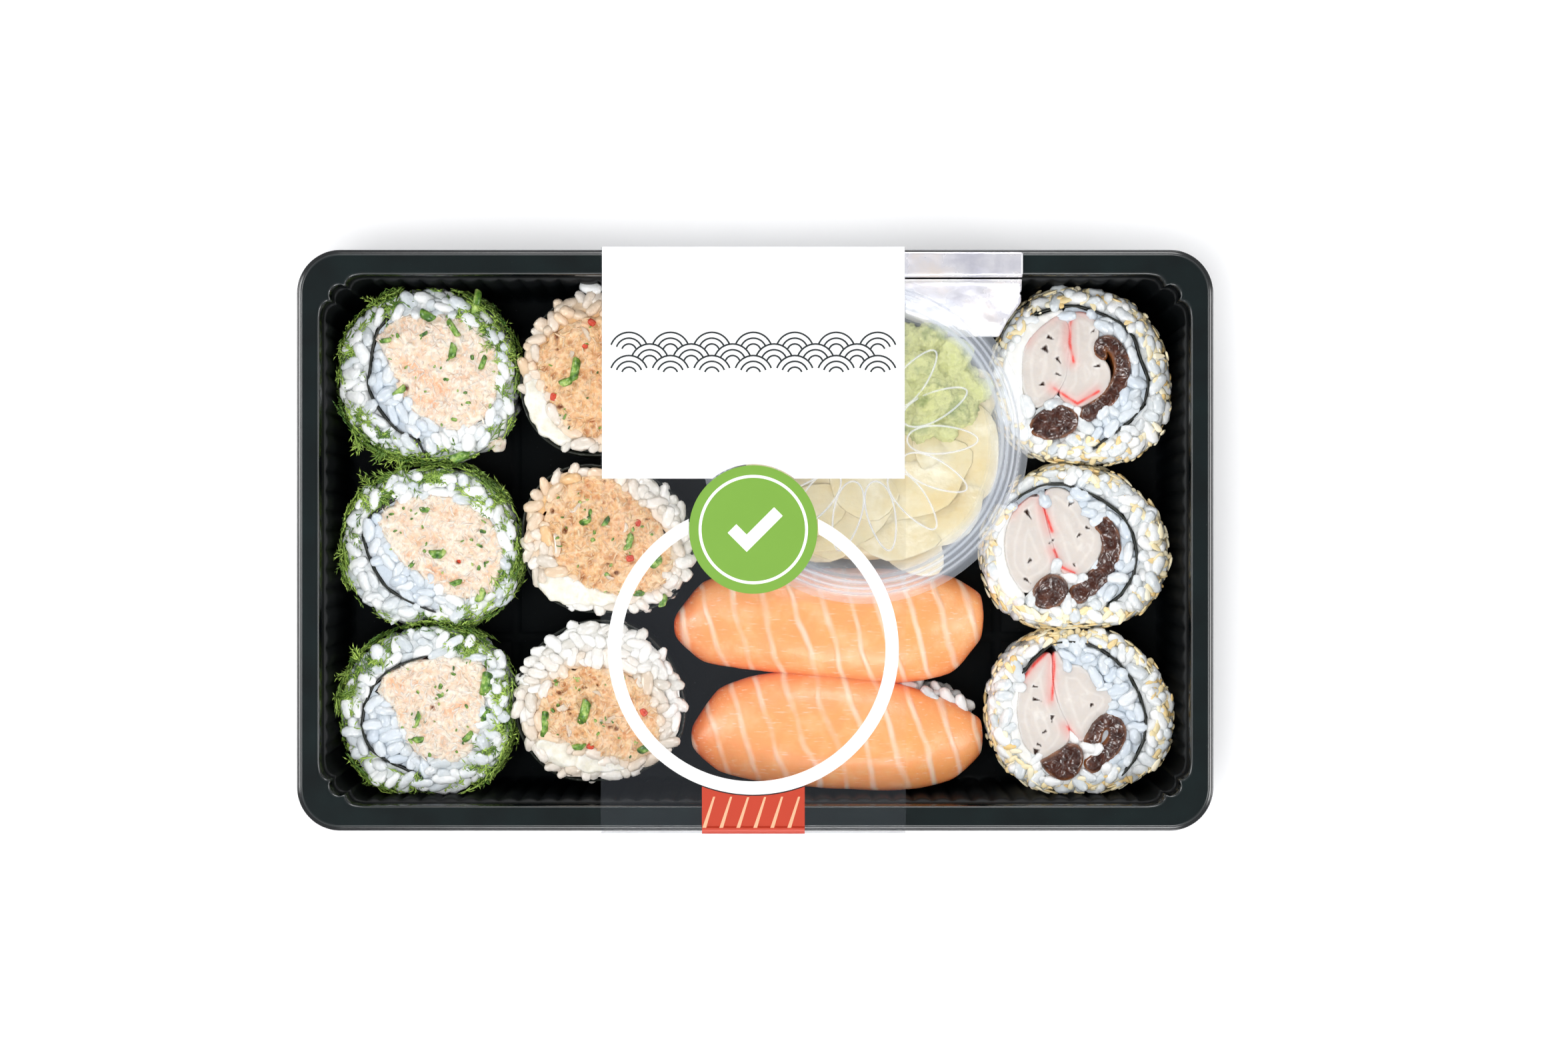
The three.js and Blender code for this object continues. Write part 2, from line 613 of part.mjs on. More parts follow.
// Seaweed outside, rice, then seasoned fish paste with a smear of cream.
const TUNA_ROLLS = [
  {
    at: [-37.2, 40.9], seed: 21, seam: 250,
    reach: [20.6, 21, 21, 20.4, 20.8, 20.4, 20.6, 22, 22, 20.3, 21.6, 21.4],
    paste: [[-16, 5], [-7.5, 12.5], [0, 13.5], [7.5, 12], [14, 5.5], [15, -1.5], [9, -12.5], [0, -15.5],
      [-9, -13.5], [-13.5, -5]],
    cream: [[-17, 0], [-15, -6.5], [-12.5, -13], [-7, -16.5], [-12.5, -16.8], [-17.5, -11], [-18.6, -4]],
  },
  {
    at: [-36.4, 0.3], seed: 22, seam: 300,
    reach: [21.2, 20.2, 18.6, 18, 20.6, 21.8, 21.2, 21.2, 20, 18.2, 20.4, 22.4],
    paste: [[-15.5, 6], [-12, 11.5], [-6, 14.5], [1, 15], [6, 10], [12.5, 4.5], [16.5, -5], [12.5, -12],
      [5.5, -13.8], [-2, -12.5], [-10, -8], [-13, -2]],
    cream: [[-17.5, -10], [-9.5, -9.5], [-2, -13], [5, -14.8], [-3, -16], [-14, -14]],
  },
  {
    at: [-38.2, -38.9], seed: 23, seam: 50,
    reach: [21, 19.6, 19.8, 19.8, 19.6, 20.4, 21.2, 21.8, 22, 20.4, 21, 22.4],
    paste: [[-14, -1.5], [-10, 6], [-4.5, 7.5], [8.5, 5.5], [13, -1], [14, -12], [8.5, -14.8], [0.5, -13.8],
      [-5.5, -10.5], [-12.5, -8.5]],
    cream: [[-16, -10.5], [-8, -11], [-0.5, -15], [8.5, -16.6], [0.5, -17.6], [-12.5, -15]],
  },
];

// Rice outside with toasted sesame, a seaweed sheet, two crab sticks, braised gourd
// strips and cream cheese.
const SESAME_ROLLS = [
  {
    at: [80.6, 40.8], seed: 31,
    reach: [21.2, 20.4, 21, 21.2, 22.6, 22.2, 21.8, 23.4, 23, 21.2, 24, 23.6],
    surimiLeft: [[-14.5, 7], [-7.5, 13.5], [-4.2, 15], [-4.2, 4], [-5, -2.5], [-8, -6], [-13, -9], [-15, -2.5]],
    surimiRight: [[-3.4, 15], [2, 14.2], [4, 12], [2, 5.5], [5.5, 2.5], [7, -0.5], [4, -5.5], [-2, -8.5],
      [-6.5, -5.4], [-4, -0.5]],
    strip: [[3.6, 3.8], [2.9, 6.5], [4.6, 8.6], [7.5, 6.5], [9.4, 2.5], [9, -1.5], [5.6, -6.5], [-0.5, -10.6]],
    stripWidth: 2.6,
    fold: [[-13.5, -13.5], [-11, -10.2], [-5, -8.2], [-1.5, -12], [-5, -15], [-10.5, -15.5]],
    cream: [[-5, 15.6], [-11.5, 14], [-17.5, 8.5], [-20, -0.5], [-18.6, -9], [-15.5, -15], [-14, -10.5],
      [-15.5, -1.5]],
    nori: [[-13.5, 14.2], [-6.5, 16.3], [-1, 16.6], [4.6, 14.3], [11, 11], [14, 2.5], [16, -3], [13.5, -9.5],
      [8, -14], [2, -18.5]],
  },
  {
    at: [78.4, -1.4], seed: 32,
    reach: [23.2, 21, 20, 19.6, 20.6, 20.8, 22.6, 23.4, 22, 19.8, 22, 24],
    surimiLeft: [[-8.5, 13.3], [-15, 8.5], [-17.3, 1.5], [-16, -6.5], [-12, -12.3], [-8.5, -8], [-4, -6],
      [-6, 0.5], [-7.7, 7]],
    surimiRight: [[-7.5, 13.8], [-1, 13.3], [1.5, 7.5], [5, 5], [7, 1], [4.5, -4.5], [-1, -8.5], [-4, -5.5],
      [-5, -0.5], [-7, 7]],
    strip: [[5.9, 6], [8.1, 3], [8.9, -0.5], [7.6, -4.8], [3.4, -9.8], [-0.4, -12.6]],
    stripWidth: 3.4,
    fold: [[-10, -14], [-9.5, -10], [-5.5, -7.4], [-2.5, -9.4], [-3, -13], [-6, -14.8]],
    cream: [[-15, 9.8], [-18.5, 4], [-19.5, -3.5], [-18, -11], [-12.5, -14.5], [-10.5, -13.4], [-16.5, -6.5],
      [-18, 1.5]],
    nori: [[-17, 9.6], [-12.5, 13], [-8.5, 15], [-1.5, 14.9], [5, 12], [11, 8], [14.5, 1.5], [15, -4.5],
      [12.5, -10.5], [7, -15.3]],
  },
  {
    at: [79.9, -42], seed: 33,
    reach: [22.8, 21, 21, 20, 21.6, 22.6, 22.6, 22.6, 22, 20, 21, 23.8],
    surimiLeft: [[-7.5, 15.4], [-13, 10.5], [-15.5, 4], [-15, -6], [-10.5, -12.6], [-6, -9], [-1.5, -8],
      [-6.5, 2.5], [-7.7, 10.5]],
    surimiRight: [[-6.6, 15.6], [-5.5, 11.5], [0.5, 11], [3.5, 6.5], [8.5, 3], [4.5, -1.5], [1.5, -4.5],
      [0, -8], [-5, 0.5], [-7, 9.5]],
    strip: [[2.6, -7.6], [3.2, -3.9], [6.2, -1.8], [9, -4.5], [8, -8], [4.8, -11], [1.8, -13.8]],
    stripWidth: 3,
    fold: [[-10, -11.8], [-7, -9], [-0.5, -9], [-1.5, -15], [-4, -16.6], [-8.5, -14]],
    cream: [[-15, 6.5], [-17.5, 1.5], [-17.5, -4], [-15, -11], [-10.5, -14.3], [-13.5, -9], [-15.5, -2.5]],
    nori: [[-15, 9], [-10.5, 14.2], [-6.5, 17], [1, 16.8], [8, 13], [12.5, 7.5], [15, 1.5], [16, -4],
      [13.5, -11], [9.5, -16]],
  },
];

function addDillRoll(roll, number) {
  const name = `dill_roll_${number}`;
  const [nori, paste, rice] = nest([
    sheetOf(roll, roll.nori, NORI, 10, ROLL_TOP - 0.4),
    filling(roll, roll.paste, 14, ROLL_TOP - 0.1),
    { body: scatter(riceDrum(roll, 0, COATED_LEVELS, 22, GRAIN_RELIEF), roll, 5, DILL_SPRIG, 1.2) },
  ]);
  add(`${name}_rice`, rice.body, SKINS.rice);
  add(`${name}_nori`, nori.body, SKINS.nori);
  add(`${name}_filling`, paste.body, SKINS.paleFish);
}

// The outer sheet starts under its own end, so its first stretch runs one layer deeper.
function wrapPath(roll) {
  const overlap = 0.4;
  const count = 24;
  return Array.from({ length: count }, (_, i) => {
    const turn = (i / (count - 1)) * (2 * Math.PI + overlap);
    const tuck = NORI + GAP + 0.2;
    const inset = NORI / 2 + tuck * THREE.MathUtils.smoothstep(1 - turn / (2 * overlap), 0, 1);
    const angle = roll.seam * Math.PI / 180 + turn;
    const r = reachAt(roll.reach, angle) - inset;
    return [roll.at[0] + r * Math.cos(angle), roll.at[1] + r * Math.sin(angle)];
  });
}

function addTunaRoll(roll, number) {
  const name = `tuna_roll_${number}`;
  const path = wrapPath(roll);
  const wrap = {
    body: block(ribbon(path, NORI), FOOD_BASE, ROLL_TOP - 0.6),
    keepOut: block(ribbon(path, NORI + 2 * GAP, GAP), ...KEEP_OUT),
  };
  const [wrapped, paste, cream, rice] = nest([
    wrap,
    filling(roll, roll.paste, 14, ROLL_TOP + 0.1),
    filling(roll, roll.cream, 9, ROLL_TOP),
    { body: riceDrum(roll, NORI + GAP, WRAPPED_LEVELS, 24, GRAIN_RELIEF * 0.6) },
  ]);
  add(`${name}_nori_wrap`, wrapped.body, SKINS.nori);
  add(`${name}_rice`, rice.body, SKINS.rice);
  add(`${name}_filling`, paste.body, SKINS.tunaFish);
  add(`${name}_cream`, cream.body, SKINS.cream);
}

function addSesameRoll(roll, number) {
  const name = `sesame_roll_${number}`;
  const [left, right, strip, fold, nori, cream, rice] = nest([
    filling(roll, roll.surimiLeft, 10, ROLL_TOP),
    filling(roll, roll.surimiRight, 12, ROLL_TOP),
    sheetOf(roll, roll.strip, roll.stripWidth, 9, ROLL_TOP - 0.3),
    filling(roll, roll.fold, 8, ROLL_TOP + 0.2),
    sheetOf(roll, roll.nori, NORI, 12, ROLL_TOP - 0.4),
    filling(roll, roll.cream, 10, ROLL_TOP - 0.2),
    { body: scatter(riceDrum(roll, 0, COATED_LEVELS, 22, GRAIN_RELIEF), roll, 5, SESAME_SEED, 2.4) },
  ]);
  add(`${name}_rice`, rice.body, SKINS.rice);
  add(`${name}_nori`, nori.body, SKINS.nori);
  add(`${name}_surimi_left`, left.body, SKINS.surimi);
  add(`${name}_surimi_right`, right.body, SKINS.surimi);
  add(`${name}_kanpyo_strip`, strip.body, SKINS.kanpyo);
  add(`${name}_kanpyo_fold`, fold.body, SKINS.kanpyo);
  add(`${name}_cream_cheese`, cream.body, SKINS.cream);
}

// ----------------------------------------------------------------------------- nigiri

// Widths and sideways shifts of each salmon slice at stations from its left tip to its
// right tip, spaced as given.
const SLICE_STATIONS = [-1, -0.8, -0.4, 0, 0.4, 0.8, 1];
const NIGIRI = [
  {
    centre: [17.9, -20.3], halfLength: 38.3, seed: 51,
    widths: [4, 19.5, 23.3, 26, 26.4, 23, 10], shifts: [-1.1, 0.6, 1, 0, -0.2, -0.1, 1.8],
    rice: { shift: [1.5, 0.6], half: [34.6, 12.3] },
  },
  {
    centre: [19.9, -47.7], halfLength: 36, seed: 52,
    widths: [4.5, 20.1, 26, 27.2, 25.3, 18, 8], shifts: [-1.1, 0.3, 0.8, 0.2, -0.8, -1.6, -0.5],
    rice: { shift: [1.2, 0.9], half: [33.4, 12.4] },
  },
];

function atStation(values, u) {
  const last = SLICE_STATIONS.length - 1;
  const i = Math.min(last - 1, SLICE_STATIONS.findIndex((s, k) => k === last || SLICE_STATIONS[k + 1] >= u));
  const t = (u - SLICE_STATIONS[i]) / (SLICE_STATIONS[i + 1] - SLICE_STATIONS[i]);
  const at = (k) => values[Math.min(last, Math.max(0, k))];
  return blend(at(i - 1), at(i), at(i + 1), at(i + 2), t);
}

// A slice of fish draped over the rice: thick in the middle, thin at its lower edges.
function salmonSlice(nigiri, growth) {
  const stations = 11;
  const sections = [];
  for (let i = 0; i < stations; i++) {
    const u = Math.sin(Math.PI / 2 * (2 * i / (stations - 1) - 1));
    const x = nigiri.centre[0] + u * (nigiri.halfLength + growth);
    const middle = nigiri.centre[1] + atStation(nigiri.shifts, u);
    const half = atStation(nigiri.widths, u) / 2 + growth;
    const crest = NIGIRI_TOP - 9 * Math.abs(u) ** 3.2;
    const droop = 8.5 * Math.min(1, half / 12);
    const thickness = 5 - 2 * Math.abs(u) ** 4;
    const upper = (v) => crest - droop * Math.abs(v) ** 2.6;
    const lower = (v) => crest - growth - thickness - droop * 0.75 * Math.abs(v) ** 2.2;
    const across = (v, height) => [x, middle + v * half, height];
    sections.push([
      ...[1, 0.88, 0.6, 0.2, -0.2, -0.6, -0.88, -1].map((v) => across(v, upper(v) + growth)),
      ...[-0.97, -0.6, 0, 0.6, 0.97].map((v) => across(v, lower(v))),
    ]);
  }
  return loft(sections);
}

function riceBed(nigiri) {
  const random = seeded(nigiri.seed);
  const sides = 20;
  const levels = [[FOOD_BASE, 0.92], [6.5, 1], [11.5, 1], [16.5, 0.96], [20.5, 0.8], [22.6, 0.45]];
  const { shift, half } = nigiri.rice;
  const rings = levels.map(([z, share], level) => Array.from({ length: sides }, (_, i) => {
    const angle = 2 * Math.PI * (i + (level % 2) / 2) / sides;
    const power = 2 / 2.8;
    const dent = 1 - 0.07 * random();
    const round = (value) => Math.sign(value) * Math.abs(value) ** power;
    return [
      nigiri.centre[0] + shift[0] + half[0] * share * dent * round(Math.cos(angle)),
      nigiri.centre[1] + shift[1] + half[1] * share * dent * round(Math.sin(angle)),
      z + (level > 0 ? (random() - 0.5) * 1.2 : 0),
    ];
  }));
  return loft(rings);
}

function addNigiri(nigiri, number) {
  const name = `nigiri_${number}`;
  add(`${name}_salmon`, salmonSlice(nigiri, 0), SKINS.salmon);
  add(`${name}_rice`, mainBody(riceBed(nigiri).subtract(salmonSlice(nigiri, 2 * GAP))), SKINS.rice);
}

// ---------------------------------------------------------------------------- the set

add('tray', trayBody(), SKINS.tray);
add('band_film', bandBody(), SKINS.film);
addPrint();
addPot();
add('sachet', sachetBody(block(rollLoop(SESAME_ROLLS[0], -2 * GAP, 32), ...KEEP_OUT)), SKINS.sachet);
DILL_ROLLS.forEach((roll, i) => addDillRoll(roll, i + 1));
TUNA_ROLLS.forEach((roll, i) => addTunaRoll(roll, i + 1));
SESAME_ROLLS.forEach((roll, i) => addSesameRoll(roll, i + 1));
NIGIRI.forEach((nigiri, i) => addNigiri(nigiri, i + 1));

export default tray;
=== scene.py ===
"""A takeaway sushi tray: the finished look of every piece, built round the packed solids.

Lengths inside the script are millimetres, and turn to metres where a mesh is made.
"""

import math
import random
from types import SimpleNamespace

import bmesh
import bpy
import numpy as np
from mathutils import Euler, Matrix, Vector
from mathutils.bvhtree import BVHTree
from mathutils.geometry import delaunay_2d_cdt


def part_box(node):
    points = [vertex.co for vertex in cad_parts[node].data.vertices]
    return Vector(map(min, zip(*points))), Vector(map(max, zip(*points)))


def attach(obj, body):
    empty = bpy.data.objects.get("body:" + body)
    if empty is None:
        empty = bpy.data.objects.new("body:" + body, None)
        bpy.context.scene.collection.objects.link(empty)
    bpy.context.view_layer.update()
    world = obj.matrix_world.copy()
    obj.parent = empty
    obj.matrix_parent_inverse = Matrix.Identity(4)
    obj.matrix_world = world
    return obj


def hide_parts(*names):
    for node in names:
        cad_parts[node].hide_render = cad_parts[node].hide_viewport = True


bl_info = {
    "name": "Takeaway sushi tray",
    "version": (1, 0, 0),
    "blender": (4, 5, 0),
    "location": "3D View > Sidebar > Sushi tray",
    "description": "Dresses the solids of a packed sushi tray with finished pieces",
    "category": "Object",
}

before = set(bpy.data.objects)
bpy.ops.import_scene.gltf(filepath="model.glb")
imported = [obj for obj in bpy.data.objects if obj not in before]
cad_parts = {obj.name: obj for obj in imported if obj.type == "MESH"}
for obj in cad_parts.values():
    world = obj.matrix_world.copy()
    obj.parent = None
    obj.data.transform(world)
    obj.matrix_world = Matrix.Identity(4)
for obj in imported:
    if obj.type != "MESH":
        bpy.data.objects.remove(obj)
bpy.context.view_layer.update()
MM = 0.001
TURN = 2 * math.pi
UP, DOWN = Vector((0, 0, 1)), Vector((0, 0, -1))


# ------------------------------------------------------------------------------ colours


def linear(hex_colour):
    """An sRGB hex colour as linear red, green, blue and alpha."""
    parts = [int(hex_colour[i : i + 2], 16) / 255 for i in (1, 3, 5)]
    return [p / 12.92 if p <= 0.04045 else ((p + 0.055) / 1.055) ** 2.4 for p in parts] + [1.0]


def paint(value):
    """Linear numbers for a colour that is given in hex; anything else stays as it is."""
    return linear(value) if isinstance(value, str) and value.startswith("#") else value


def mixed(a, b, share):
    return [x * (1 - share) + y * share for x, y in zip(paint(a), paint(b))]


def scaled(colour, factor):
    return [min(1.0, c * factor) for c in colour[:3]] + [1.0]


def colour_setting(name, text, hex_colour):
    return bpy.props.FloatVectorProperty(
        name=name, description=text, subtype="COLOR", size=4, min=0, max=1, default=linear(hex_colour)
    )


def length_setting(name, text, millimetres):
    return bpy.props.FloatProperty(
        name=name, description=text, subtype="DISTANCE", unit="LENGTH", min=0, default=millimetres * MM
    )


def number_setting(name, text, value):
    return bpy.props.FloatProperty(name=name, description=text, min=0, default=value)


def count_setting(name, text, value):
    return bpy.props.IntProperty(name=name, description=text, min=0, default=value)


class SUSHITRAY_PG_tray(bpy.types.PropertyGroup):
    """Sizes and colours of the moulded tray"""

    flute_pitch: length_setting("Flute pitch", "Distance between the ribs of the wall", 4.8)
    flute_depth: length_setting("Flute depth", "How far a rib stands in from the wall", 0.75)
    scallop: length_setting("Scallop", "Depth of the corner scallops", 1.5)
    black: colour_setting("Black", "Body of the moulded plastic", "#0B0E10")
    # This colour paints sheen: the flat rim of the one black sheet is drawn lighter than its walls.
    bloom: colour_setting("Bloom", "Scuffed bloom on the flat rim", "#132223")


class SUSHITRAY_PG_film(bpy.types.PropertyGroup):
    """Sizes and colours of the printed film band"""

    haze: number_setting("Haze", "Share of light that the film holds back", 0.018)
    tint: colour_setting("Tint", "Colour of the film's haze", "#B9BEC4")
    white: colour_setting("White", "White print", "#FFFFFF")
    green: colour_setting("Green", "Green print", "#7AA83E")
    red: colour_setting("Red", "Red print", "#BE3A1F")
    pale: colour_setting("Pale", "Stripes on the red print", "#EDB48E")


class SUSHITRAY_PG_pot(bpy.types.PropertyGroup):
    """Sizes and colours of the pot and what is in it"""

    clear: colour_setting("Clear", "Tint of the clear plastic", "#E9EDF2")
    petals: count_setting("Petals", "Leaves in the lid's embossed flower", 14)
    wasabi: colour_setting("Wasabi", "Middle tone of the wasabi", "#D0D295")
    ginger: colour_setting("Ginger", "Middle tone of the sliced ginger", "#E4D7B0")


class SUSHITRAY_PG_rice(bpy.types.PropertyGroup):
    """Sizes and colours of the rice"""

    length: length_setting("Grain length", "Length of a boiled grain", 6.0)
    width: length_setting("Grain width", "Width of a boiled grain", 3.35)
    top_gap: length_setting("Spacing on top", "Least distance between grains at the cut face", 2.0)
    side_gap: length_setting("Spacing at the side", "Least distance between grains on the wall", 2.2)
    white: colour_setting("White", "A grain's bright heart", "#F4F6F6")
    glass: colour_setting("Glassy", "A grain's glassy edge", "#CFD6DA")


class SUSHITRAY_PG_coat(bpy.types.PropertyGroup):
    """Dill and sesame pressed round the rolls"""

    fronds: count_setting("Fronds", "Sprigs of dill round a roll", 190)
    flecks: count_setting("Flecks", "Chopped bits of dill round a roll", 380)
    seeds: count_setting("Seeds", "Sesame seeds round a roll", 370)
    # Bright and deep stand for dill in light and in shade: painted light and shade, spread over the copies
    # at random.
    bright: colour_setting("Bright", "Fresh dill in the light", "#C0DF69")
    deep: colour_setting("Deep", "Dill in the shade", "#48752C")
    sesame: colour_setting("Sesame", "Toasted sesame", "#F8E6B6")


class SUSHITRAY_PG_fish(bpy.types.PropertyGroup):
    """Colours and sizes of fish and fillings"""

    paste: colour_setting("Pale paste", "Mild fish paste", "#F1D9C2")
    tuna: colour_setting("Seasoned paste", "Seasoned fish paste", "#EBBD88")
    surimi: colour_setting("Crab stick", "White of the crab stick", "#DCD4CD")
    salmon: colour_setting("Salmon", "Flesh of the salmon", "#FFAB6A")
    # This colour is painted shade on the slices' tilted sides, and the redder flesh towards their left ends.
    rim: colour_setting("Salmon edge", "Thin edge of the salmon", "#EE6326")
    fat_gap: length_setting("Fat lines", "Distance between the lines of fat", 6.8)


class SUSHITRAY_PG_stage(bpy.types.PropertyGroup):
    """Floor, light and camera"""

    floor: colour_setting("Floor", "Pale floor", "#F6F6F7")
    height: length_setting("Camera height", "Height of the camera over the table", 800)
    lens: bpy.props.FloatProperty(
        name="Lens", description="Focal length", subtype="DISTANCE_CAMERA", default=72.68
    )
    light: number_setting("Light", "Power of the main softbox in watts", 6.5)
    side: number_setting("Side light", "Power of each side softbox in watts", 1.2)
    strip: number_setting("Strip light", "Power of each long box, seen in gloss alone, in watts", 7)
    sky: number_setting("Walls", "Brightness of the studio's walls", 0.75)
    glow: number_setting("Glow", "Brightness of the light table", 0.2)


# ---------------------------------------------------------------------- shapes in plain


def joined(*parts):
    """Several (points, faces) pairs as one."""
    points, faces = [], []
    for some_points, some_faces in parts:
        first = len(points)
        points += list(some_points)
        faces += [[first + i for i in face] for face in some_faces]
    return points, faces


def loft(rings, start_cap=True, end_cap=True, loop=False):
    """A skin through rings of equally many points, shut at both ends or closed on itself."""
    count = len(rings[0])
    points = [p for ring in rings for p in ring]
    faces = []
    for level in range(len(rings) if loop else len(rings) - 1):
        low, high = level * count, (level + 1) % len(rings) * count
        for i in range(count):
            j = (i + 1) % count
            faces.append([low + i, low + j, high + j, high + i])
    if start_cap and not loop:
        faces.append(list(range(count))[::-1])
    if end_cap and not loop:
        faces.append([(len(rings) - 1) * count + i for i in range(count)])
    return points, faces


def prism(outline, low, high):
    return loft([[(x, y, low) for x, y in outline], [(x, y, high) for x, y in outline]])


def circle(sides):
    """Even steps round a circle, as (cosine, sine)."""
    return [(math.cos(TURN * i / sides), math.sin(TURN * i / sides)) for i in range(sides)]


def tipped(rings, start, end):
    """A skin through rings that closes on a tip at both ends."""
    points, faces = loft(rings, start_cap=False, end_cap=False)
    count = len(rings[0])
    for tip, first, ahead in ((start, 0, 1), (end, len(points) - count, 0)):
        points.append(tip)
        faces += [
            [first + (i + ahead) % count, first + (i + 1 - ahead) % count,
             len(points) - 1] for i in range(count)
        ]
    return points, faces


def turned(profile, sides, centre):
    """A closed body turned round an upright axis; the profile starts and ends on the axis."""
    x, y = centre
    rings = [[(x + r * c, y + r * s, z) for c, s in circle(sides)] for r, z in profile[1:-1]]
    return tipped(rings, (x, y, profile[0][1]), (x, y, profile[-1][1]))


def tube(path, radius, sides=6):
    """A round bead along a closed path."""
    rings = []
    for i, place in enumerate(path):
        along = (Vector(path[(i + 1) % len(path)]) - Vector(path[i - 1])).normalized()
        side = along.cross(UP).normalized()
        up = side.cross(along)
        rings.append([Vector(place) + radius * (c * side + s * up) for c, s in circle(sides)])
    return loft(rings, loop=True)


def bean(length, width, thick, bend=0.0, point=0.0, blunt=0.75, rings=6, sides=8, uneven=0.0,
         phase=0.0):
    """A grain or a seed along X: blunt, bent sideways, drawn out to a point or uneven at will."""
    levels = []
    for i in range(1, rings):
        angle = math.pi * i / rings
        x = -math.cos(angle) * length / 2
        reach = math.sin(angle) ** blunt * (1 - point * (0.5 + x / length))
        shift = bend * (2 * x / length) ** 2
        level = []
        for k in range(sides):
            turn = TURN * k / sides
            own = reach * (1 + uneven * math.sin(2 * turn + 1.4 * x + phase) * math.cos(0.9 * x - 2 * phase))
            level.append((x, math.cos(turn) * width / 2 * own + shift,
                          math.sin(turn) * thick / 2 * own))
        levels.append(level)
    return tipped(levels, (-length / 2, bend, 0.0), (length / 2, bend, 0.0))


def spike(start, end, radius):
    """One leaf of dill: three-sided, widest before its middle and drawn out to a point."""
    start, end = Vector(start), Vector(end)
    along = (end - start).normalized()
    side = along.orthogonal().normalized()
    up = along.cross(side)
    belly = start + 0.45 * (end - start)
    ring = [belly + radius * (math.cos(a) * side + math.sin(a) * up) for a in (0.0, 2.1, 4.2)]
    return [start, *ring, end], [[0, 2, 1], [0, 3, 2], [0, 1, 3], [1, 2, 4], [2, 3, 4], [3, 1, 4]]


def placed(shape, place, turn):
    """A shape turned and moved to its place."""
    matrix = Matrix.LocRotScale(Vector(place), Euler(turn), None)
    return [matrix @ Vector(p) for p in shape[0]], shape[1]


# -------------------------------------------------------------------- noise and outlines


def field(x, y, size, seed):
    """Smooth noise from -1 to 1 with lumps of one size, over arrays of places."""
    angle = 0.7 * seed
    u = (x * math.cos(angle) + y * math.sin(angle)) / size
    v = (y * math.cos(angle) - x * math.sin(angle)) / size
    i, j = np.floor(u).astype(np.int64), np.floor(v).astype(np.int64)
    a, b = u - i, v - j
    a, b = a * a * (3 - 2 * a), b * b * (3 - 2 * b)

    def corner(di, dj):
        n = (i + di) * 374761393 + (j + dj) * 668265263 + seed * 69069
        n = (n ^ (n >> 13)) * 1274126177
        return ((n ^ (n >> 16)) & 0xFFFF) / 32767.5 - 1

    low = corner(0, 0) * (1 - a) + corner(1, 0) * a
    high = corner(0, 1) * (1 - a) + corner(1, 1) * a
    return low * (1 - b) + high * b


def ridges(x, y, size, seed):
    """Noise with sharp crests, between 0 and 1."""
    return 1 - np.abs(field(x, y, size, seed))


def blot(x, y, places):
    """How strongly each place is covered by soft spots, given as (x, y, radius x, radius y)."""
    cover = np.zeros_like(x)
    for px, py, rx, ry in places:
        cover = np.maximum(cover, np.exp(-(((x - px) / rx) ** 2 + ((y - py) / ry) ** 2) ** 1.5))
    return cover


def streak(x, y, lines):
    """How strongly each place is covered by soft lines, given as (width, [points])."""
    cover = np.zeros_like(x)
    for width, path in lines:
        for (x0, y0), (x1, y1) in zip(path, path[1:]):
            dx, dy = x1 - x0, y1 - y0
            t = np.clip(((x - x0) * dx + (y - y0) * dy) / (dx * dx + dy * dy), 0, 1)
            gap = np.hypot(x - x0 - t * dx, y - y0 - t * dy)
            cover = np.maximum(cover, np.exp(-((gap / width) ** 2)))
    return cover


def smoothed(outline, spacing, passes=3):
    """An outline with its corners rounded, as points an even distance apart."""
    loop = np.array(outline, float)
    for _ in range(passes):
        after = np.roll(loop, -1, 0)
        loop = np.stack([0.75 * loop + 0.25 * after, 0.25 * loop + 0.75 * after], 1).reshape(-1, 2)
    closed = np.vstack([loop, loop[:1]])
    run = np.concatenate([[0], np.cumsum(np.hypot(*np.diff(closed, axis=0).T))])
    stops = np.linspace(0, run[-1], max(8, round(run[-1] / spacing)), endpoint=False)
    return np.stack([np.interp(stops, run, closed[:, k]) for k in (0, 1)], 1)


def reach_in(points, outline):
    """Distance from each point to the outline, negative outside it."""
    ends = np.roll(outline, -1, 0)
    run = ends - outline
    nearest = np.full(len(points), 1e9)
    crossings = np.zeros(len(points), int)
    for (x0, y0), (x1, y1), (dx, dy) in zip(outline, ends, run):
        px, py = points[:, 0] - x0, points[:, 1] - y0
        t = np.clip((px * dx + py * dy) / max(dx * dx + dy * dy, 1e-12), 0, 1)
        nearest = np.minimum(nearest, np.hypot(px - t * dx, py - t * dy))
        if y0 != y1:
            crosses = ((y0 > points[:, 1]) != (y1 > points[:, 1])) & (
                points[:, 0] < x0 + (points[:, 1] - y0) * dx / dy
            )
            crossings += crosses
    return np.where(crossings % 2 == 1, nearest, -nearest)


def top_outline(name):
    """The outline of a straight-sided solid's upper face, counter-clockwise."""
    body = bmesh.new()
    body.from_mesh(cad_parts[name].data)
    bmesh.ops.remove_doubles(body, verts=body.verts, dist=1e-6)
    top = max(v.co.z for v in body.verts)
    flat = [f for f in body.faces if all(v.co.z > top - 2e-5 for v in f.verts)]
    onward = {}
    for face in flat:
        for corner in face.loops:
            if sum(near in flat for near in corner.edge.link_faces) == 1:
                onward[corner.vert] = corner.link_loop_next.vert
    longest = []
    while onward:
        start, here = onward.popitem()
        loop = [start]
        while here is not start and here in onward:
            loop.append(here)
            here = onward.pop(here)
        if len(loop) > len(longest):
            longest = loop
    outline = [(v.co.x / MM, v.co.y / MM) for v in longest]
    body.free()
    return outline


def outwards(rim):
    """The way out from each point of a counter-clockwise outline."""
    run = np.roll(rim, -1, 0) - np.roll(rim, 1, 0)
    return np.stack([run[:, 1], -run[:, 0]], 1) / np.maximum(np.hypot(*run.T), 1e-9)[:, None]


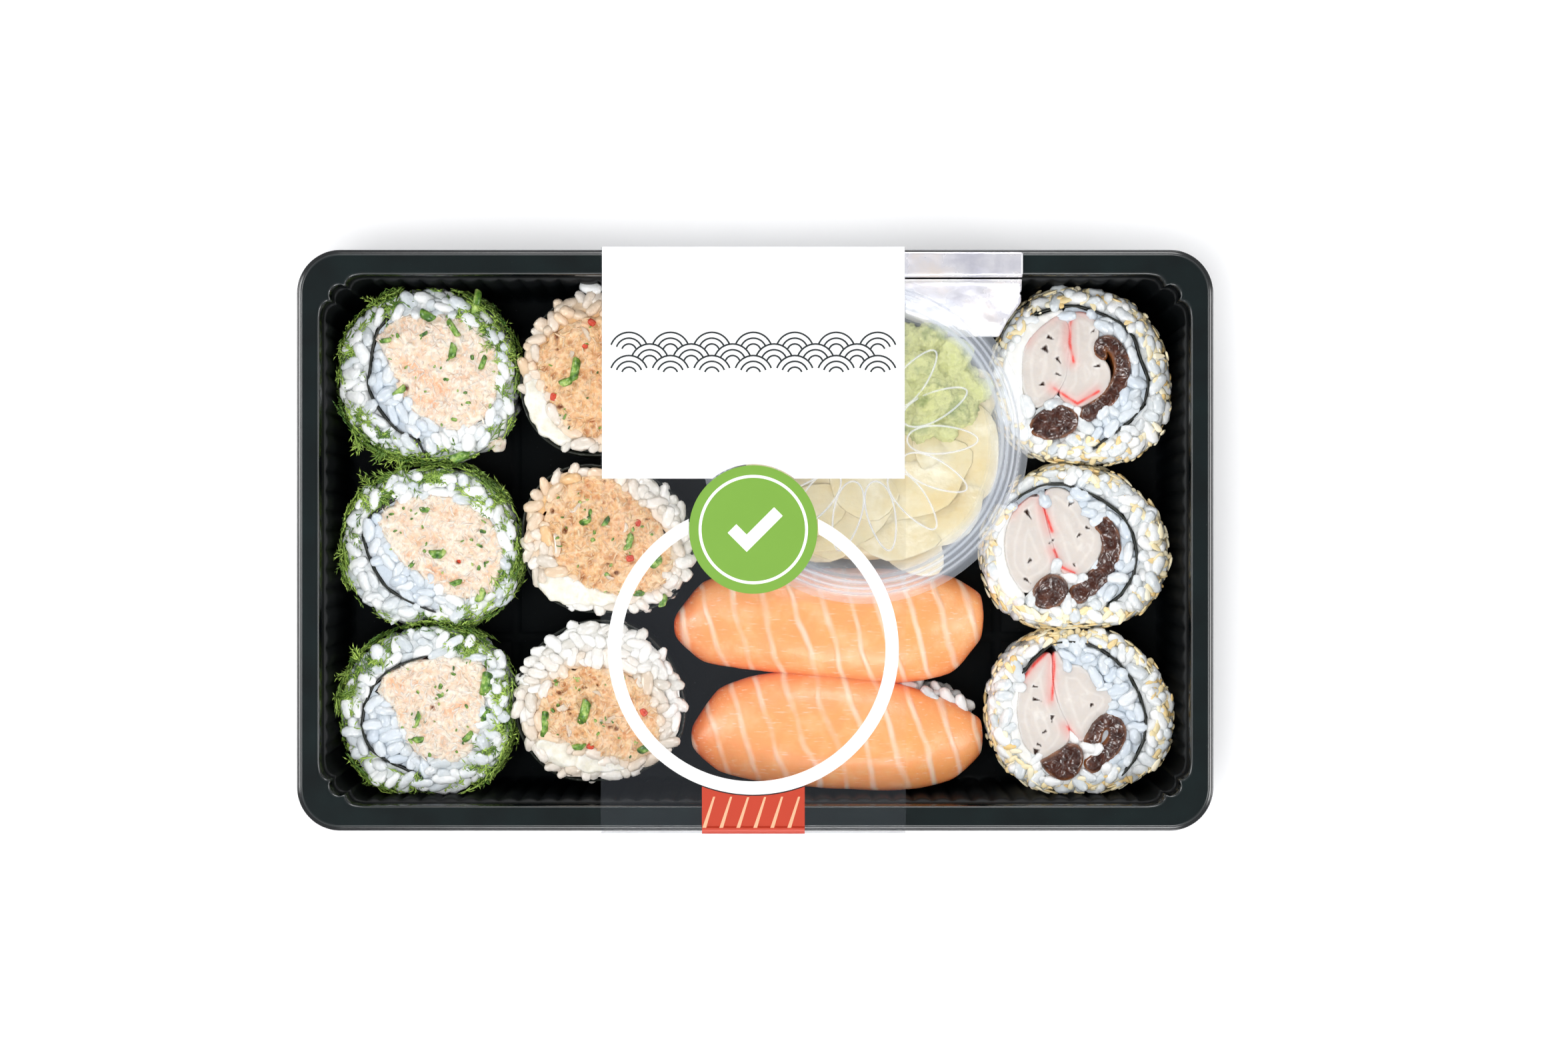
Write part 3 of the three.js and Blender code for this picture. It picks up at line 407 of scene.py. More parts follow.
def slab(outline, base, top, cell, relief, edge=0.8, wobble=0.25, seed=1, passes=3, grow=0.0,
         ragged=0.0):
    """A closed block of food with a finely shaped top: points, faces and its attributes.

    relief(x, y, reach) gives the height over top of each place and a table of attributes,
    where reach is the distance from the outline. wobble makes its walls uneven, grow widens
    it and ragged frays its rim, all in millimetres.
    """
    rim = smoothed(outline, cell, passes)
    if grow or ragged:
        run = np.arange(len(rim)) * cell
        frayed = 0.7 * field(run, run * 0, 2.4, seed) + 0.5 * field(run, run * 0, 1.1, seed + 1)
        rim = smoothed(rim + outwards(rim) * (grow + ragged * frayed)[:, None], cell, 1)
    low, high = rim.min(0), rim.max(0)
    xs = np.arange(low[0], high[0] + cell, cell)
    ys = np.arange(low[1], high[1] + cell, cell * 0.87)
    grid = np.array([(x + cell / 2 * (row % 2), y) for row, y in enumerate(ys) for x in xs])
    grid = grid[reach_in(grid, rim) > 0.55 * cell]
    loop = list(range(len(rim)))
    places, _, triangles, origins, _, _ = delaunay_2d_cdt(
        [Vector(p) for p in np.vstack([rim, grid])], [], [loop], 1, 1e-7
    )
    where = {origin: i for i, found in enumerate(origins) for origin in found}
    flat = np.array([tuple(p) for p in places])
    reach = np.maximum(reach_in(flat, rim), 0)
    height, attributes = relief(flat[:, 0], flat[:, 1], reach)
    fall = edge * (1 - np.sqrt(1 - (1 - np.minimum(reach / edge, 1)) ** 2))
    tops = top + height * np.minimum(1, 0.35 + reach / (2 * edge)) - fall
    points = [(x, y, z) for (x, y), z in zip(flat, tops)]
    faces = []
    for triangle in triangles:
        a, b, c = (flat[i] for i in triangle)
        ahead = (b[0] - a[0]) * (c[1] - a[1]) - (b[1] - a[1]) * (c[0] - a[0]) > 0
        faces.append(list(triangle) if ahead else list(triangle)[::-1])
    border = [where[i] for i in loop]
    out, run, ring, levels = outwards(rim), np.arange(len(rim)) * cell, border, 7
    for level in range(1, levels + 1):
        share = (level / levels) ** 1.5
        shift = wobble * min(1, 3 * share) * field(run, run * 0 + 40.0 * share, 2.6, seed)
        below = list(range(len(points), len(points) + len(rim)))
        for (x, y), top_point in zip(rim + out * shift[:, None], border):
            points.append((x, y, tops[top_point] * (1 - share) + base * share))
        faces += [[ring[n], ring[k], below[k], below[n]] for k, n in zip(loop, loop[1:] + loop[:1])]
        ring = below
    faces.append(ring[::-1])
    skirt = np.array(border * levels)
    return points, faces, {key: np.concatenate([v, v[skirt]]) for key, v in attributes.items()}


# ------------------------------------------------------------------- pieces in the scene


def linked(name, data):
    """A new object in the scene."""
    piece = bpy.data.objects.new(name, data)
    bpy.context.scene.collection.objects.link(piece)
    return piece


def reworked(mesh, change):
    """Runs a change on a mesh in its editable form."""
    body = bmesh.new()
    body.from_mesh(mesh)
    change(body)
    body.to_mesh(mesh)
    body.free()


def merged(body, gap=1e-6):
    bmesh.ops.remove_doubles(body, verts=body.verts, dist=gap)


def mended(body):
    merged(body, 2e-6)
    bmesh.ops.recalc_face_normals(body, faces=body.faces)


def attribute(piece, name, values):
    made = piece.data.attributes.new(name, "FLOAT", "POINT")
    made.data.foreach_set("value", np.asarray(values, np.float32))


def mesh_piece(name, shape, smooth=True, mend=False):
    """A new object from points and faces in millimetres, and attributes if the shape has them."""
    mesh = bpy.data.meshes.new(name)
    mesh.from_pydata([Vector(p) * MM for p in shape[0]], [], shape[1])
    mesh.validate()
    if mend:
        reworked(mesh, mended)
    mesh.polygons.foreach_set("use_smooth", [smooth] * len(mesh.polygons))
    piece = linked(name, mesh)
    for attributes in shape[2:]:
        for key, values in attributes.items():
            attribute(piece, key, values)
    return piece


def node_copy(name, piece_name):
    """A loose copy of a solid, merged to one skin."""
    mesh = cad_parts[name].data.copy()
    reworked(mesh, merged)
    mesh.materials.clear()
    return linked(piece_name, mesh)


def plain(piece):
    """Turns what the modifiers make into the piece's own mesh, and drops them."""
    bpy.context.view_layer.update()
    seen = piece.evaluated_get(bpy.context.evaluated_depsgraph_get())
    mesh = bpy.data.meshes.new_from_object(seen)
    piece.modifiers.clear()
    piece.data = mesh
    return piece


def remeshed(piece, voxel, smoothing=4, factor=0.5):
    """An even skin of small faces, a little rounded."""
    skin = piece.modifiers.new("Skin", "REMESH")
    skin.mode = "VOXEL"
    skin.voxel_size = voxel * MM
    if smoothing:
        soft = piece.modifiers.new("Soft", "SMOOTH")
        soft.iterations, soft.factor = smoothing, factor
    plain(piece)
    piece.data.polygons.foreach_set("use_smooth", [True] * len(piece.data.polygons))
    return piece


def finish(piece, material, slot, *nodes):
    """Gives a piece its material and its body, and hides the solids that it stands for; the slot is not
    used.
    """
    if material is not None:
        piece.data.materials.clear()
        piece.data.materials.append(material)
    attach(piece, "root")
    if nodes:
        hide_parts(*nodes)
    return piece


def points_of(piece):
    """The piece's points and normals as arrays, points in millimetres."""
    count = len(piece.data.vertices)
    places, normals = np.empty(count * 3, np.float32), np.empty(count * 3, np.float32)
    piece.data.vertices.foreach_get("co", places)
    piece.data.vertices.foreach_get("normal", normals)
    return places.reshape(-1, 3) / MM, normals.reshape(-1, 3)


def set_points(piece, places):
    piece.data.vertices.foreach_set("co", (places * MM).astype(np.float32).ravel())
    piece.data.update()
    return piece


def box_of(name):
    """The low and the high corner of a solid's box, in millimetres."""
    return [SimpleNamespace(x=c.x / MM, y=c.y / MM, z=c.z / MM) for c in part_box(name)]


# ---------------------------------------------------------------------------- node trees


def add_node(tree, kind, inputs=(), **settings):
    """Adds one node: settings are its own, inputs maps a socket to a value or a link.

    A kind that doesn't name its family is a shader node.
    """
    made = tree.nodes.new(kind if "Node" in kind else "ShaderNode" + kind)
    for name, value in settings.items():
        setattr(made, name, value)
    for key, value in dict(inputs).items():
        if isinstance(value, bpy.types.NodeSocket):
            tree.links.new(value, made.inputs[key])
        else:
            made.inputs[key].default_value = paint(value)
    return made


def geometry_tree(name, sockets):
    """An empty geometry tree with named inputs: the tree, its input node and output node."""
    tree = bpy.data.node_groups.new(name, "GeometryNodeTree")
    for label, kind in {"Geometry": "Geometry", **sockets}.items():
        tree.interface.new_socket(label, in_out="INPUT", socket_type="NodeSocket" + kind)
    tree.interface.new_socket("Geometry", in_out="OUTPUT", socket_type="NodeSocketGeometry")
    return tree, add_node(tree, "NodeGroupInput"), add_node(tree, "NodeGroupOutput")


def end_tree(tree, shaped, given, result):
    """Ends a geometry tree: real meshes, smooth, in the material that was given."""
    real = add_node(tree, "GeometryNodeRealizeInstances", {"Geometry": shaped})
    smooth = add_node(tree, "GeometryNodeSetShadeSmooth", {"Geometry": real.outputs[0]})
    painted = add_node(
        tree, "GeometryNodeSetMaterial", {"Geometry": smooth.outputs[0],
                                          "Material": given.outputs["Finish"]}
    )
    tree.links.new(painted.outputs[0], result.inputs[0])
    return tree


def scatter_tree():
    """Sets copies of small shapes on points: each point says which, how turned and how big."""
    tree, given, result = geometry_tree(
        "Set copies on points", {"Copies": "Collection", "Size": "Float", "Seed": "Int",
                                 "Finish": "Material"}
    )
    turn, stretch, kind = (
        add_node(tree, "GeometryNodeInputNamedAttribute", {"Name": name},
                 data_type=values).outputs["Attribute"]
        for name, values in (("turn", "FLOAT_VECTOR"), ("stretch", "FLOAT_VECTOR"), ("kind", "INT"))
    )
    shapes = add_node(tree, "GeometryNodeCollectionInfo", {
        "Collection": given.outputs["Copies"], "Separate Children": True, "Reset Children": True,
    })
    chance = add_node(tree, "FunctionNodeRandomValue", {"Seed": given.outputs["Seed"]})
    shaded = add_node(tree, "GeometryNodeStoreNamedAttribute", {
        "Geometry": given.outputs["Geometry"], "Name": "shade", "Value": chance.outputs[1],
    })
    size = add_node(tree, "VectorMath", {0: stretch, "Scale": given.outputs["Size"]}, operation="SCALE")
    rotation = add_node(tree, "FunctionNodeEulerToRotation", {"Euler": turn})
    copies = add_node(tree, "GeometryNodeInstanceOnPoints", {
        "Points": shaded.outputs["Geometry"], "Instance": shapes.outputs[0], "Pick Instance": True,
        "Instance Index": kind, "Rotation": rotation.outputs[0], "Scale": size.outputs["Vector"],
    })
    return end_tree(tree, copies.outputs[0], given, result)


def rough_skin_tree():
    """Pushes a skin in and out by two sizes of noise."""
    tree, given, result = geometry_tree("Roughen a skin", {
        "Coarse size": "Float", "Coarse height": "Float", "Fine size": "Float", "Fine height": "Float",
        "Finish": "Material",
    })
    normal = add_node(tree, "GeometryNodeInputNormal")
    shaped = given.outputs["Geometry"]
    for grade in ("Coarse", "Fine"):
        scale = add_node(tree, "Math", {0: 1.0, 1: given.outputs[grade + " size"]}, operation="DIVIDE")
        noise = add_node(tree, "TexNoise", {"Scale": scale.outputs[0], "Detail": 2.0})
        push = add_node(tree, "Math", {0: noise.outputs[0], 1: 0.5}, operation="SUBTRACT")
        height = add_node(
            tree, "Math", {0: push.outputs[0], 1: given.outputs[grade + " height"]},
            operation="MULTIPLY"
        )
        offset = add_node(
            tree, "VectorMath", {0: normal.outputs[0], "Scale": height.outputs[0]}, operation="SCALE"
        )
        moved = add_node(
            tree, "GeometryNodeSetPosition", {"Geometry": shaped, "Offset": offset.outputs["Vector"]}
        )
        shaped = moved.outputs[0]
    return end_tree(tree, shaped, given, result)


def run_tree(piece, tree, **values):
    """Runs a geometry tree on a piece with named inputs, and keeps the result as its mesh."""
    modifier = piece.modifiers.new(tree.name, "NODES")
    modifier.node_group = tree
    for item in tree.interface.items_tree:
        if item.in_out == "INPUT" and item.name.replace(" ", "_").lower() in values:
            modifier[item.identifier] = values[item.name.replace(" ", "_").lower()]
    return plain(piece)


TREES = {}
GRAIN_KINDS = 8
# The tray's flat rim at its short and its long sides, how far its walls lean in from the rim
# to the floor, and the round of its inner corners.
TRAY_RIM = (5.5, 6.1)
TRAY_DRAFT = 3.0
TRAY_CAVITY = 11.0


def tree_named(make):
    if make.__name__ not in TREES:
        TREES[make.__name__] = make()
    return TREES[make.__name__]


def keep_inside(piece):
    """Lays what would poke through the tray's wall along that wall."""
    places, _ = points_of(piece)
    low, high = box_of("tray")
    lean = TRAY_DRAFT * (high.z - places[:, 2:]) / (high.z - low.z)
    clear = 1.1  # what the ribs take, and a little more
    wall = np.array([[high.x - TRAY_RIM[0], high.y - TRAY_RIM[1]]]) - lean - clear
    side, reach = np.sign(places[:, :2]), np.minimum(np.abs(places[:, :2]), wall)
    past = reach - (wall - TRAY_CAVITY)
    far, most = np.hypot(*past.T), TRAY_CAVITY - 1.6
    in_corner = (past > 0).all(1)
    pull = np.where(in_corner & (far > most), most / np.maximum(far, 0.1), 1)
    places[:, :2] = side * np.where(in_corner[:, None], wall - TRAY_CAVITY + past * pull[:, None],
                                    reach)
    return set_points(piece, places)


def scattered(name, darts, shapes, material, seed, marks=()):
    """One piece of many small copies; a dart is (place, turn, stretch, kind).

    marks are (attribute, values), one value for each copy.
    """
    mesh = bpy.data.meshes.new(name)
    mesh.from_pydata([Vector(d[0]) * MM for d in darts], [], [])
    piece = linked(name, mesh)
    for key, values in marks:
        attribute(piece, key, values)
    for key, at in (("turn", 1), ("stretch", 2)):
        made = mesh.attributes.new(key, "FLOAT_VECTOR", "POINT")
        made.data.foreach_set("vector", np.array([tuple(d[at]) for d in darts], np.float32).ravel())
    mesh.attributes.new("kind", "INT", "POINT").data.foreach_set("value", [d[3] for d in darts])
    shelf = bpy.data.collections.new(name + "_shapes")
    bpy.context.scene.collection.children.link(shelf)
    loose = [mesh_piece(f"{name}_shape_{i:02d}", shape, mend=True) for i, shape in enumerate(shapes)]
    for copy in loose:
        bpy.context.scene.collection.objects.unlink(copy)
        shelf.objects.link(copy)
    run_tree(piece, tree_named(scatter_tree), copies=shelf, size=1.0, seed=seed, finish=material)
    for copy in loose:
        bpy.data.objects.remove(copy)
    bpy.data.collections.remove(shelf)
    for key in ("turn", "stretch", "kind"):
        if key in piece.data.attributes:
            piece.data.attributes.remove(piece.data.attributes[key])
    return piece


# ----------------------------------------------------------------------------- materials


def new_material(name, values):
    """A material, its tree, its shader with some plain values, and the place on the piece."""
    made = bpy.data.materials.new(name)
    made.use_nodes = True
    shader = made.node_tree.nodes["Principled BSDF"]
    for socket, value in values.items():
        shader.inputs[socket].default_value = value
    return made, made.node_tree, shader, add_node(made.node_tree, "TexCoord").outputs["Object"]


def food(name, stops, patch=4.0, bumps=((0.8, 0.15),), roughness=(0.35, 0.5), soak=0.0,
         soak_mm=(1, 1, 1),
         coat=0.0, marks=(), shade=None, ior=1.42, fibres=None, metal=0.0):
    """A moist food surface, or any other that is patchy and finely uneven.

    stops are colours over noise patches of one size in millimetres, or over the pieces'
    own shade; bumps are (size, height) in millimetres; marks are (attribute, colour)
    painted over them; soak is how far light goes in. fibres are (size, colour): torn
    threads that are paler than what lies under them.
    """
    made, tree, shader, place = new_material(name, {
        "IOR": ior, "Metallic": metal, "Subsurface Weight": soak, "Subsurface Radius": soak_mm,
        "Subsurface Scale": MM, "Coat Weight": coat, "Coat Roughness": 0.12,
    })
    share = add_node(
        tree, "TexNoise", {"Vector": place, "Scale": 1 / (patch * MM), "Detail": 4.0, "Roughness": 0.6}
    ).outputs[0]
    if shade:
        own = add_node(tree, "Attribute", attribute_name="shade").outputs["Fac"]
        share = add_node(tree, "Mix", {0: shade, 2: share, 3: own}, data_type="FLOAT").outputs[0]
    ramp = add_node(tree, "ValToRGB", {0: share})
    while len(ramp.color_ramp.elements) < len(stops):
        ramp.color_ramp.elements.new(0.5)
    for element, (position, colour) in zip(ramp.color_ramp.elements, stops):
        element.position, element.color = position, paint(colour)
    colour = ramp.outputs[0]
    for mark, tone in marks:
        cover = add_node(tree, "Attribute", attribute_name=mark).outputs["Fac"]
        colour = add_node(tree, "Mix", {0: cover, 6: colour, 7: tone}, data_type="RGBA").outputs[2]
    if fibres:
        threads = add_node(tree, "TexNoise", {
            "Vector": place, "Scale": 1 / (fibres[0] * MM), "Detail": 5.0, "Roughness": 0.65,
            "Distortion": 2.2,
        })
        cover = add_node(tree, "MapRange", {0: threads.outputs[0], 1: 0.5, 2: 0.66, 4: 0.75}).outputs[0]
        colour = add_node(tree, "Mix", {0: cover, 6: colour, 7: fibres[1]}, data_type="RGBA").outputs[2]
    tree.links.new(colour, shader.inputs["Base Color"])
    worn = add_node(tree, "MapRange", {0: share, 3: roughness[0], 4: roughness[1]})
    tree.links.new(worn.outputs[0], shader.inputs["Roughness"])
    below = {}
    for size, height in bumps:
        noise = add_node(tree, "TexNoise", {"Vector": place, "Scale": 1 / (size * MM), "Detail": 3.0})
        bump = add_node(tree, "Bump", {"Height": noise.outputs[0], "Distance": height * MM, **below})
        below = {"Normal": bump.outputs[0]}
    tree.links.new(below["Normal"], shader.inputs["Normal"])
    return made


def moulded_plastic(black, bloom):
    """Polystyrene sheet, vacuum formed: near black and glossy, its flat rim painted lighter in uneven
    patches as sheen.
    """
    made, tree, shader, place = new_material("Vacuum formed polystyrene", {"IOR": 1.5})
    level = add_node(tree, "SeparateXYZ", {0: place}).outputs[2]
    on_rim = add_node(tree, "MapRange", {0: level, 1: 33.2 * MM, 2: 33.9 * MM}).outputs[0]
    cloud = add_node(tree, "TexNoise", {"Vector": place, "Scale": 1 / (9 * MM),
                                        "Detail": 5.0}).outputs[0]
    # Scuffs are finer than the eye parts here, so they are drawn as specks of half a millimetre.
    specks = add_node(tree, "TexNoise", {"Vector": place, "Scale": 1 / (0.5 * MM), "Detail": 2.0})
    dust = add_node(tree, "MapRange", {0: specks.outputs[0], 1: 0.72, 2: 0.8}).outputs[0]
    # The flat rim is painted lighter in uneven patches, as painted sheen.
    cover = add_node(tree, "Math", {0: on_rim, 1: cloud, 2: -0.1}, operation="MULTIPLY_ADD").outputs[0]
    body = add_node(tree, "Mix", {0: cover, 6: black, 7: bloom}, data_type="RGBA").outputs[2]
    dusty = add_node(tree, "Math", {0: dust, 1: 0.12}, operation="MULTIPLY").outputs[0]
    body = add_node(tree, "Mix", {0: dusty, 6: body, 7: "#8F9A9C"}, data_type="RGBA").outputs[2]
    tree.links.new(body, shader.inputs["Base Color"])
    # The deep-drawn walls are stretched dull; the sheet keeps its gloss near the rim.
    drawn, gloss = (
        add_node(tree, "MapRange", {0: level, 1: 29 * MM, 2: 31.5 * MM, 3: deep, 4: high}).outputs[0]
        for deep, high in ((0.5, 0.12), (0.14, 0.5))
    )
    rough = add_node(tree, "Math", {0: on_rim, 1: 0.18, 2: drawn}, operation="MULTIPLY_ADD").outputs[0]
    tree.links.new(rough, shader.inputs["Roughness"])
    tree.links.new(gloss, shader.inputs["Specular IOR Level"])
    bump = add_node(tree, "Bump", {"Height": cloud, "Distance": 0.05 * MM})
    tree.links.new(bump.outputs[0], shader.inputs["Normal"])
    return made


def clear_plastic(name, tint, least, most, roughness=0.08):
    """Clear sheet: seen through face on; where it turns away and where the piece marks it, it is painted
    more opaque and whitish, as painted reflection and highlight.
    """
    made, tree, shader, place = new_material(name, {"IOR": 1.5, "Roughness": roughness})
    facing = add_node(tree, "LayerWeight", {"Blend": 0.35}).outputs["Facing"]
    waves = add_node(tree, "TexNoise", {"Vector": place, "Scale": 1 / (14 * MM),
                                        "Detail": 3.0}).outputs[0]
    steep = add_node(tree, "Math", {0: facing, 1: 2.5}, operation="POWER").outputs[0]
    alpha = add_node(tree, "MapRange", {0: steep, 3: least, 4: most}).outputs[0]
    # Marked places are painted more opaque: painted sheen and highlights on the lid.
    milk = add_node(tree, "Attribute", attribute_name="milk").outputs["Fac"]
    alpha = add_node(tree, "Math", {0: milk, 1: 0.37, 2: alpha}, operation="MULTIPLY_ADD").outputs[0]
    tree.links.new(alpha, shader.inputs["Alpha"])
    bluish = mixed(tint, "#B7C4DC", 0.5)
    shade = add_node(tree, "Mix", {0: waves, 6: tint, 7: bluish}, data_type="RGBA").outputs[2]
    tree.links.new(shade, shader.inputs["Base Color"])
    bump = add_node(tree, "Bump", {"Height": waves, "Distance": 0.15 * MM})
    tree.links.new(bump.outputs[0], shader.inputs["Normal"])
    return made


def print_ink(tone, colour):
    """Flexographic ink on film: flat colour and satin, with a fine uneven lay."""
    return food(tone + " flexographic ink", [(0.3, scaled(colour, 0.97)), (0.7, colour)], patch=12,
                bumps=((0.4, 0.01),), roughness=(0.35, 0.45))


def boiled_rice(look, name="Boiled rice", glass=None, white=None, tint="#D3DDE7"):
    """Boiled short grain rice: glassy and wet, whiter in the heart of each grain."""
    glass, white = glass or look.glass, white or look.white
    return bpy.data.materials.get(name) or food(
        name, [(0.3, glass), (0.5, mixed(glass, white, 0.6)), (0.7, white)], patch=2.0,
        bumps=((1.5, 0.3), (0.5, 0.06)), roughness=(0.2, 0.36), soak=0.3, soak_mm=(0.9, 0.9, 1.0),
        coat=0.2,
        shade=0.45, marks=(("tint", tint),),
    )


# Foods whose colours nobody needs to set; each comment says what the eye gets from them.
FOODS = {
    # Wet roasted seaweed is near black, a little green, satin and crumpled.
    "Roasted seaweed": dict(
        stops=[(0.3, "#0C0F0B"), (0.7, "#1B2117")], patch=3, bumps=((1.4, 0.25), (0.4, 0.08)),
        roughness=(0.3, 0.5), ior=1.45,
    ),
    # Chopped chive goes from deep to yellow green within a piece, and shines a little where it is cut.
    "Chopped chive": dict(
        stops=[(0.36, "#2E5524"), (0.5, "#6A9636"), (0.64, "#B4CB72")], patch=2.2, bumps=((0.5, 0.05),),
        roughness=(0.25, 0.4),
    ),
    # Diced red pepper is a wet, warm red with a soft edge.
    "Red pepper": dict(
        stops=[(0.3, "#B5321E"), (0.7, "#E0573A")], patch=1.5, bumps=((0.5, 0.05),),
        roughness=(0.25, 0.4),
        soak=0.2, soak_mm=(1, 0.4, 0.3),
    ),
    # Slivers of dressed onion are glassy and wet, a little pink from the dressing.
    "Dressed onion": dict(
        stops=[(0.3, "#EBC2A0"), (0.7, "#F9E4CF")], patch=2.5, bumps=((0.8, 0.06),),
        roughness=(0.12, 0.25),
        soak=0.6, soak_mm=(2.5, 2, 1.5), coat=0.5,
    ),
    # Whipped cheese mashed into the rice is off-white, lumpy and moist.
    "Whipped cheese": dict(
        stops=[(0.3, "#E6E1D0"), (0.5, "#F1EDE0"), (0.7, "#FAF8F0")], patch=2.6,
        bumps=((1.8, 0.3), (0.6, 0.1)),
        roughness=(0.25, 0.45), soak=0.5, soak_mm=(2, 1.9, 1.5), coat=0.15,
    ),
    # Cream cheese spread with a knife is white, smooth and a little glossy.
    "Cream cheese": dict(
        stops=[(0.3, "#EFEDE6"), (0.7, "#FBFAF6")], patch=6, bumps=((1.6, 0.15),),
        roughness=(0.3, 0.45),
        soak=0.4, soak_mm=(2, 1.9, 1.6),
    ),
    # Braised gourd is dark brown and syrupy, and lets light through at its thin edges.
    "Braised gourd": dict(
        stops=[(0.3, "#2C1510"), (0.55, "#4A281D"), (0.75, "#6A3E2B")], patch=2.6,
        bumps=((0.7, 0.2), (0.25, 0.06)), roughness=(0.12, 0.26), soak=0.15, soak_mm=(1.6, 0.5, 0.3),
        coat=0.6,
        marks=(("thin", "#92582E"),),
    ),
    # Polyester laminate with vapour-deposited metal is silvery and creased; soft bright clouds in its colour
    # are painted reflections.
    "Metallised polyester laminate": dict(
        stops=[(0.3, "#C9C8D6"), (0.5, "#E4E3EA"), (0.7, "#EDE3DE")], patch=12,
        bumps=((5, 0.35), (1.6, 0.05)),
        roughness=(0.2, 0.34), ior=1.5, coat=0.2, metal=0.35,
    ),
}


def plain_food(name):
    """One of the foods above, made once."""
    return bpy.data.materials.get(name) or food(name, **FOODS[name])


# ------------------------------------------------------------------ places on the solids


def shell(names):
    """A tree for casting rays on solids, and which of them each face belongs to."""
    points, faces, owners = [], [], []
    for name in names:
        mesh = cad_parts[name].data
        first = len(points)
        points += [v.co / MM for v in mesh.vertices]
        faces += [[first + i for i in p.vertices] for p in mesh.polygons]
        owners += [name] * len(mesh.polygons)
    return BVHTree.FromPolygons(points, faces), owners


def piece_tree(piece):
    mesh = piece.data
    return BVHTree.FromPolygons([v.co / MM for v in mesh.vertices],
                                [list(p.vertices) for p in mesh.polygons])


def below(tree, x, y):
    """What a plumb line through (x, y) hits first: place, normal, face and distance, or Nones."""
    return tree.ray_cast(Vector((x, y, 60)), DOWN)


def top_of(tree, x, y, default=25.0):
    spot = below(tree, x, y)[0]
    return default if spot is None else spot.z


def turn_on(normal, spin):
    """The turn of a copy that lies flat on a surface, spun round the surface's normal."""
    across = normal.orthogonal().normalized()
    along = Matrix.Rotation(spin, 3, normal) @ across
    side = normal.cross(along)
    return Matrix((along, side, normal)).transposed().to_euler()


def throw(chance, tries, gap, propose):
    """Throws darts and keeps each one that is a gap away from those before it."""
    kept = []
    limit = gap * gap
    for _ in range(tries):
        dart = propose(chance)
        if dart is None:
            continue
        if all((dart[0] - other[0]).length_squared > limit for other in kept):
            kept.append(dart)
    return kept


def pack(chance, tries, gap, reach, propose, taken=None):
    """Throws long darts, and keeps each one whose middle and ends are a gap away from the rest.

    Gives the darts kept, and every spot that is taken by now.
    """
    kept, taken = [], np.empty((0, 3)) if taken is None else taken
    for _ in range(tries):
        dart = propose(chance)
        if dart is None:
            continue
        along = turn_on(dart[1], dart[2]).to_matrix() @ Vector((reach, 0, 0))
        spots = np.array([tuple(dart[0] + step * along) for step in (-1, 0, 1)])
        if len(taken) and np.min(np.sum((taken[:, None] - spots[None]) ** 2, axis=2)) < gap * gap:
            continue
        taken = np.vstack([taken, spots])
        kept.append(dart)
    return kept, taken


def top_darts(tree, owners, owner, middle, reach, floor_level, drop, keep_off, lean):
    """Proposes places on the upper face of one solid, clear of its edge and of the fillings."""

    def under(x, y):
        hit = below(tree, x, y)
        return hit[0], owners[hit[2]] if hit[0] is not None and hit[0].z > floor_level else None

    def propose(chance):
        angle, r = chance.uniform(0, TURN), reach * math.sqrt(chance.random())
        x, y = middle[0] + r * math.cos(angle), middle[1] + r * math.sin(angle)
        spot, found = under(x, y)
        if found != owner:
            return None
        up = Vector((chance.gauss(0, lean), chance.gauss(0, lean), 1)).normalized()
        spin = chance.uniform(0, TURN)
        matrix = turn_on(up, spin).to_matrix()
        for end in ((1.9, 0, 0), (-1.9, 0, 0)):
            way = matrix @ Vector(end)
            near = under(x + way.x, y + way.y)[1]
            if near is None or any(part in near for part in keep_off):
                return None
        for side in ((1.7, 0, 0), (0.8, 0, 0), (-0.8, 0, 0), (-1.7, 0, 0), (0, 0.8, 0), (0, -0.8, 0)):
            way = matrix @ Vector(side)
            if (under(x + way.x, y + way.y)[1] or "").endswith("_nori"):
                return None
        return spot - Vector((0, 0, drop)), up, spin

    return propose


def side_darts(tree, owners, owner, middle, low, high, drop, direction=None):
    """Proposes places on the outer wall of one solid."""

    def propose(chance):
        angle = chance.uniform(0, TURN) if direction is None else direction(chance)
        z = chance.uniform(low, high)
        out = Vector((math.cos(angle), math.sin(angle), 0))
        start = Vector((middle[0], middle[1], z)) + 60 * out
        hit = tree.ray_cast(start, -out)
        if hit[0] is None or owners[hit[2]] != owner:
            return None
        normal = (hit[1] * 0.5 + out).normalized()
        return hit[0] - out * drop, normal, chance.uniform(0, TURN)

    return propose


def middle_of(name):
    low, high = box_of(name)
    return (low.x + high.x) / 2, (low.y + high.y) / 2


def grain_shapes(look):
    chance = random.Random(5)
    long, wide = look.length / MM, look.width / MM
    return [
        bean(long * chance.uniform(0.82, 1.08), wide * chance.uniform(0.88, 1.1),
             wide * chance.uniform(0.76, 0.95),
             bend=chance.uniform(-0.3, 0.3), point=chance.uniform(0, 0.25),
             blunt=chance.uniform(0.55, 0.75),
             rings=7, sides=8, uneven=0.17, phase=chance.uniform(0, 6))
        for _ in range(GRAIN_KINDS)
    ]


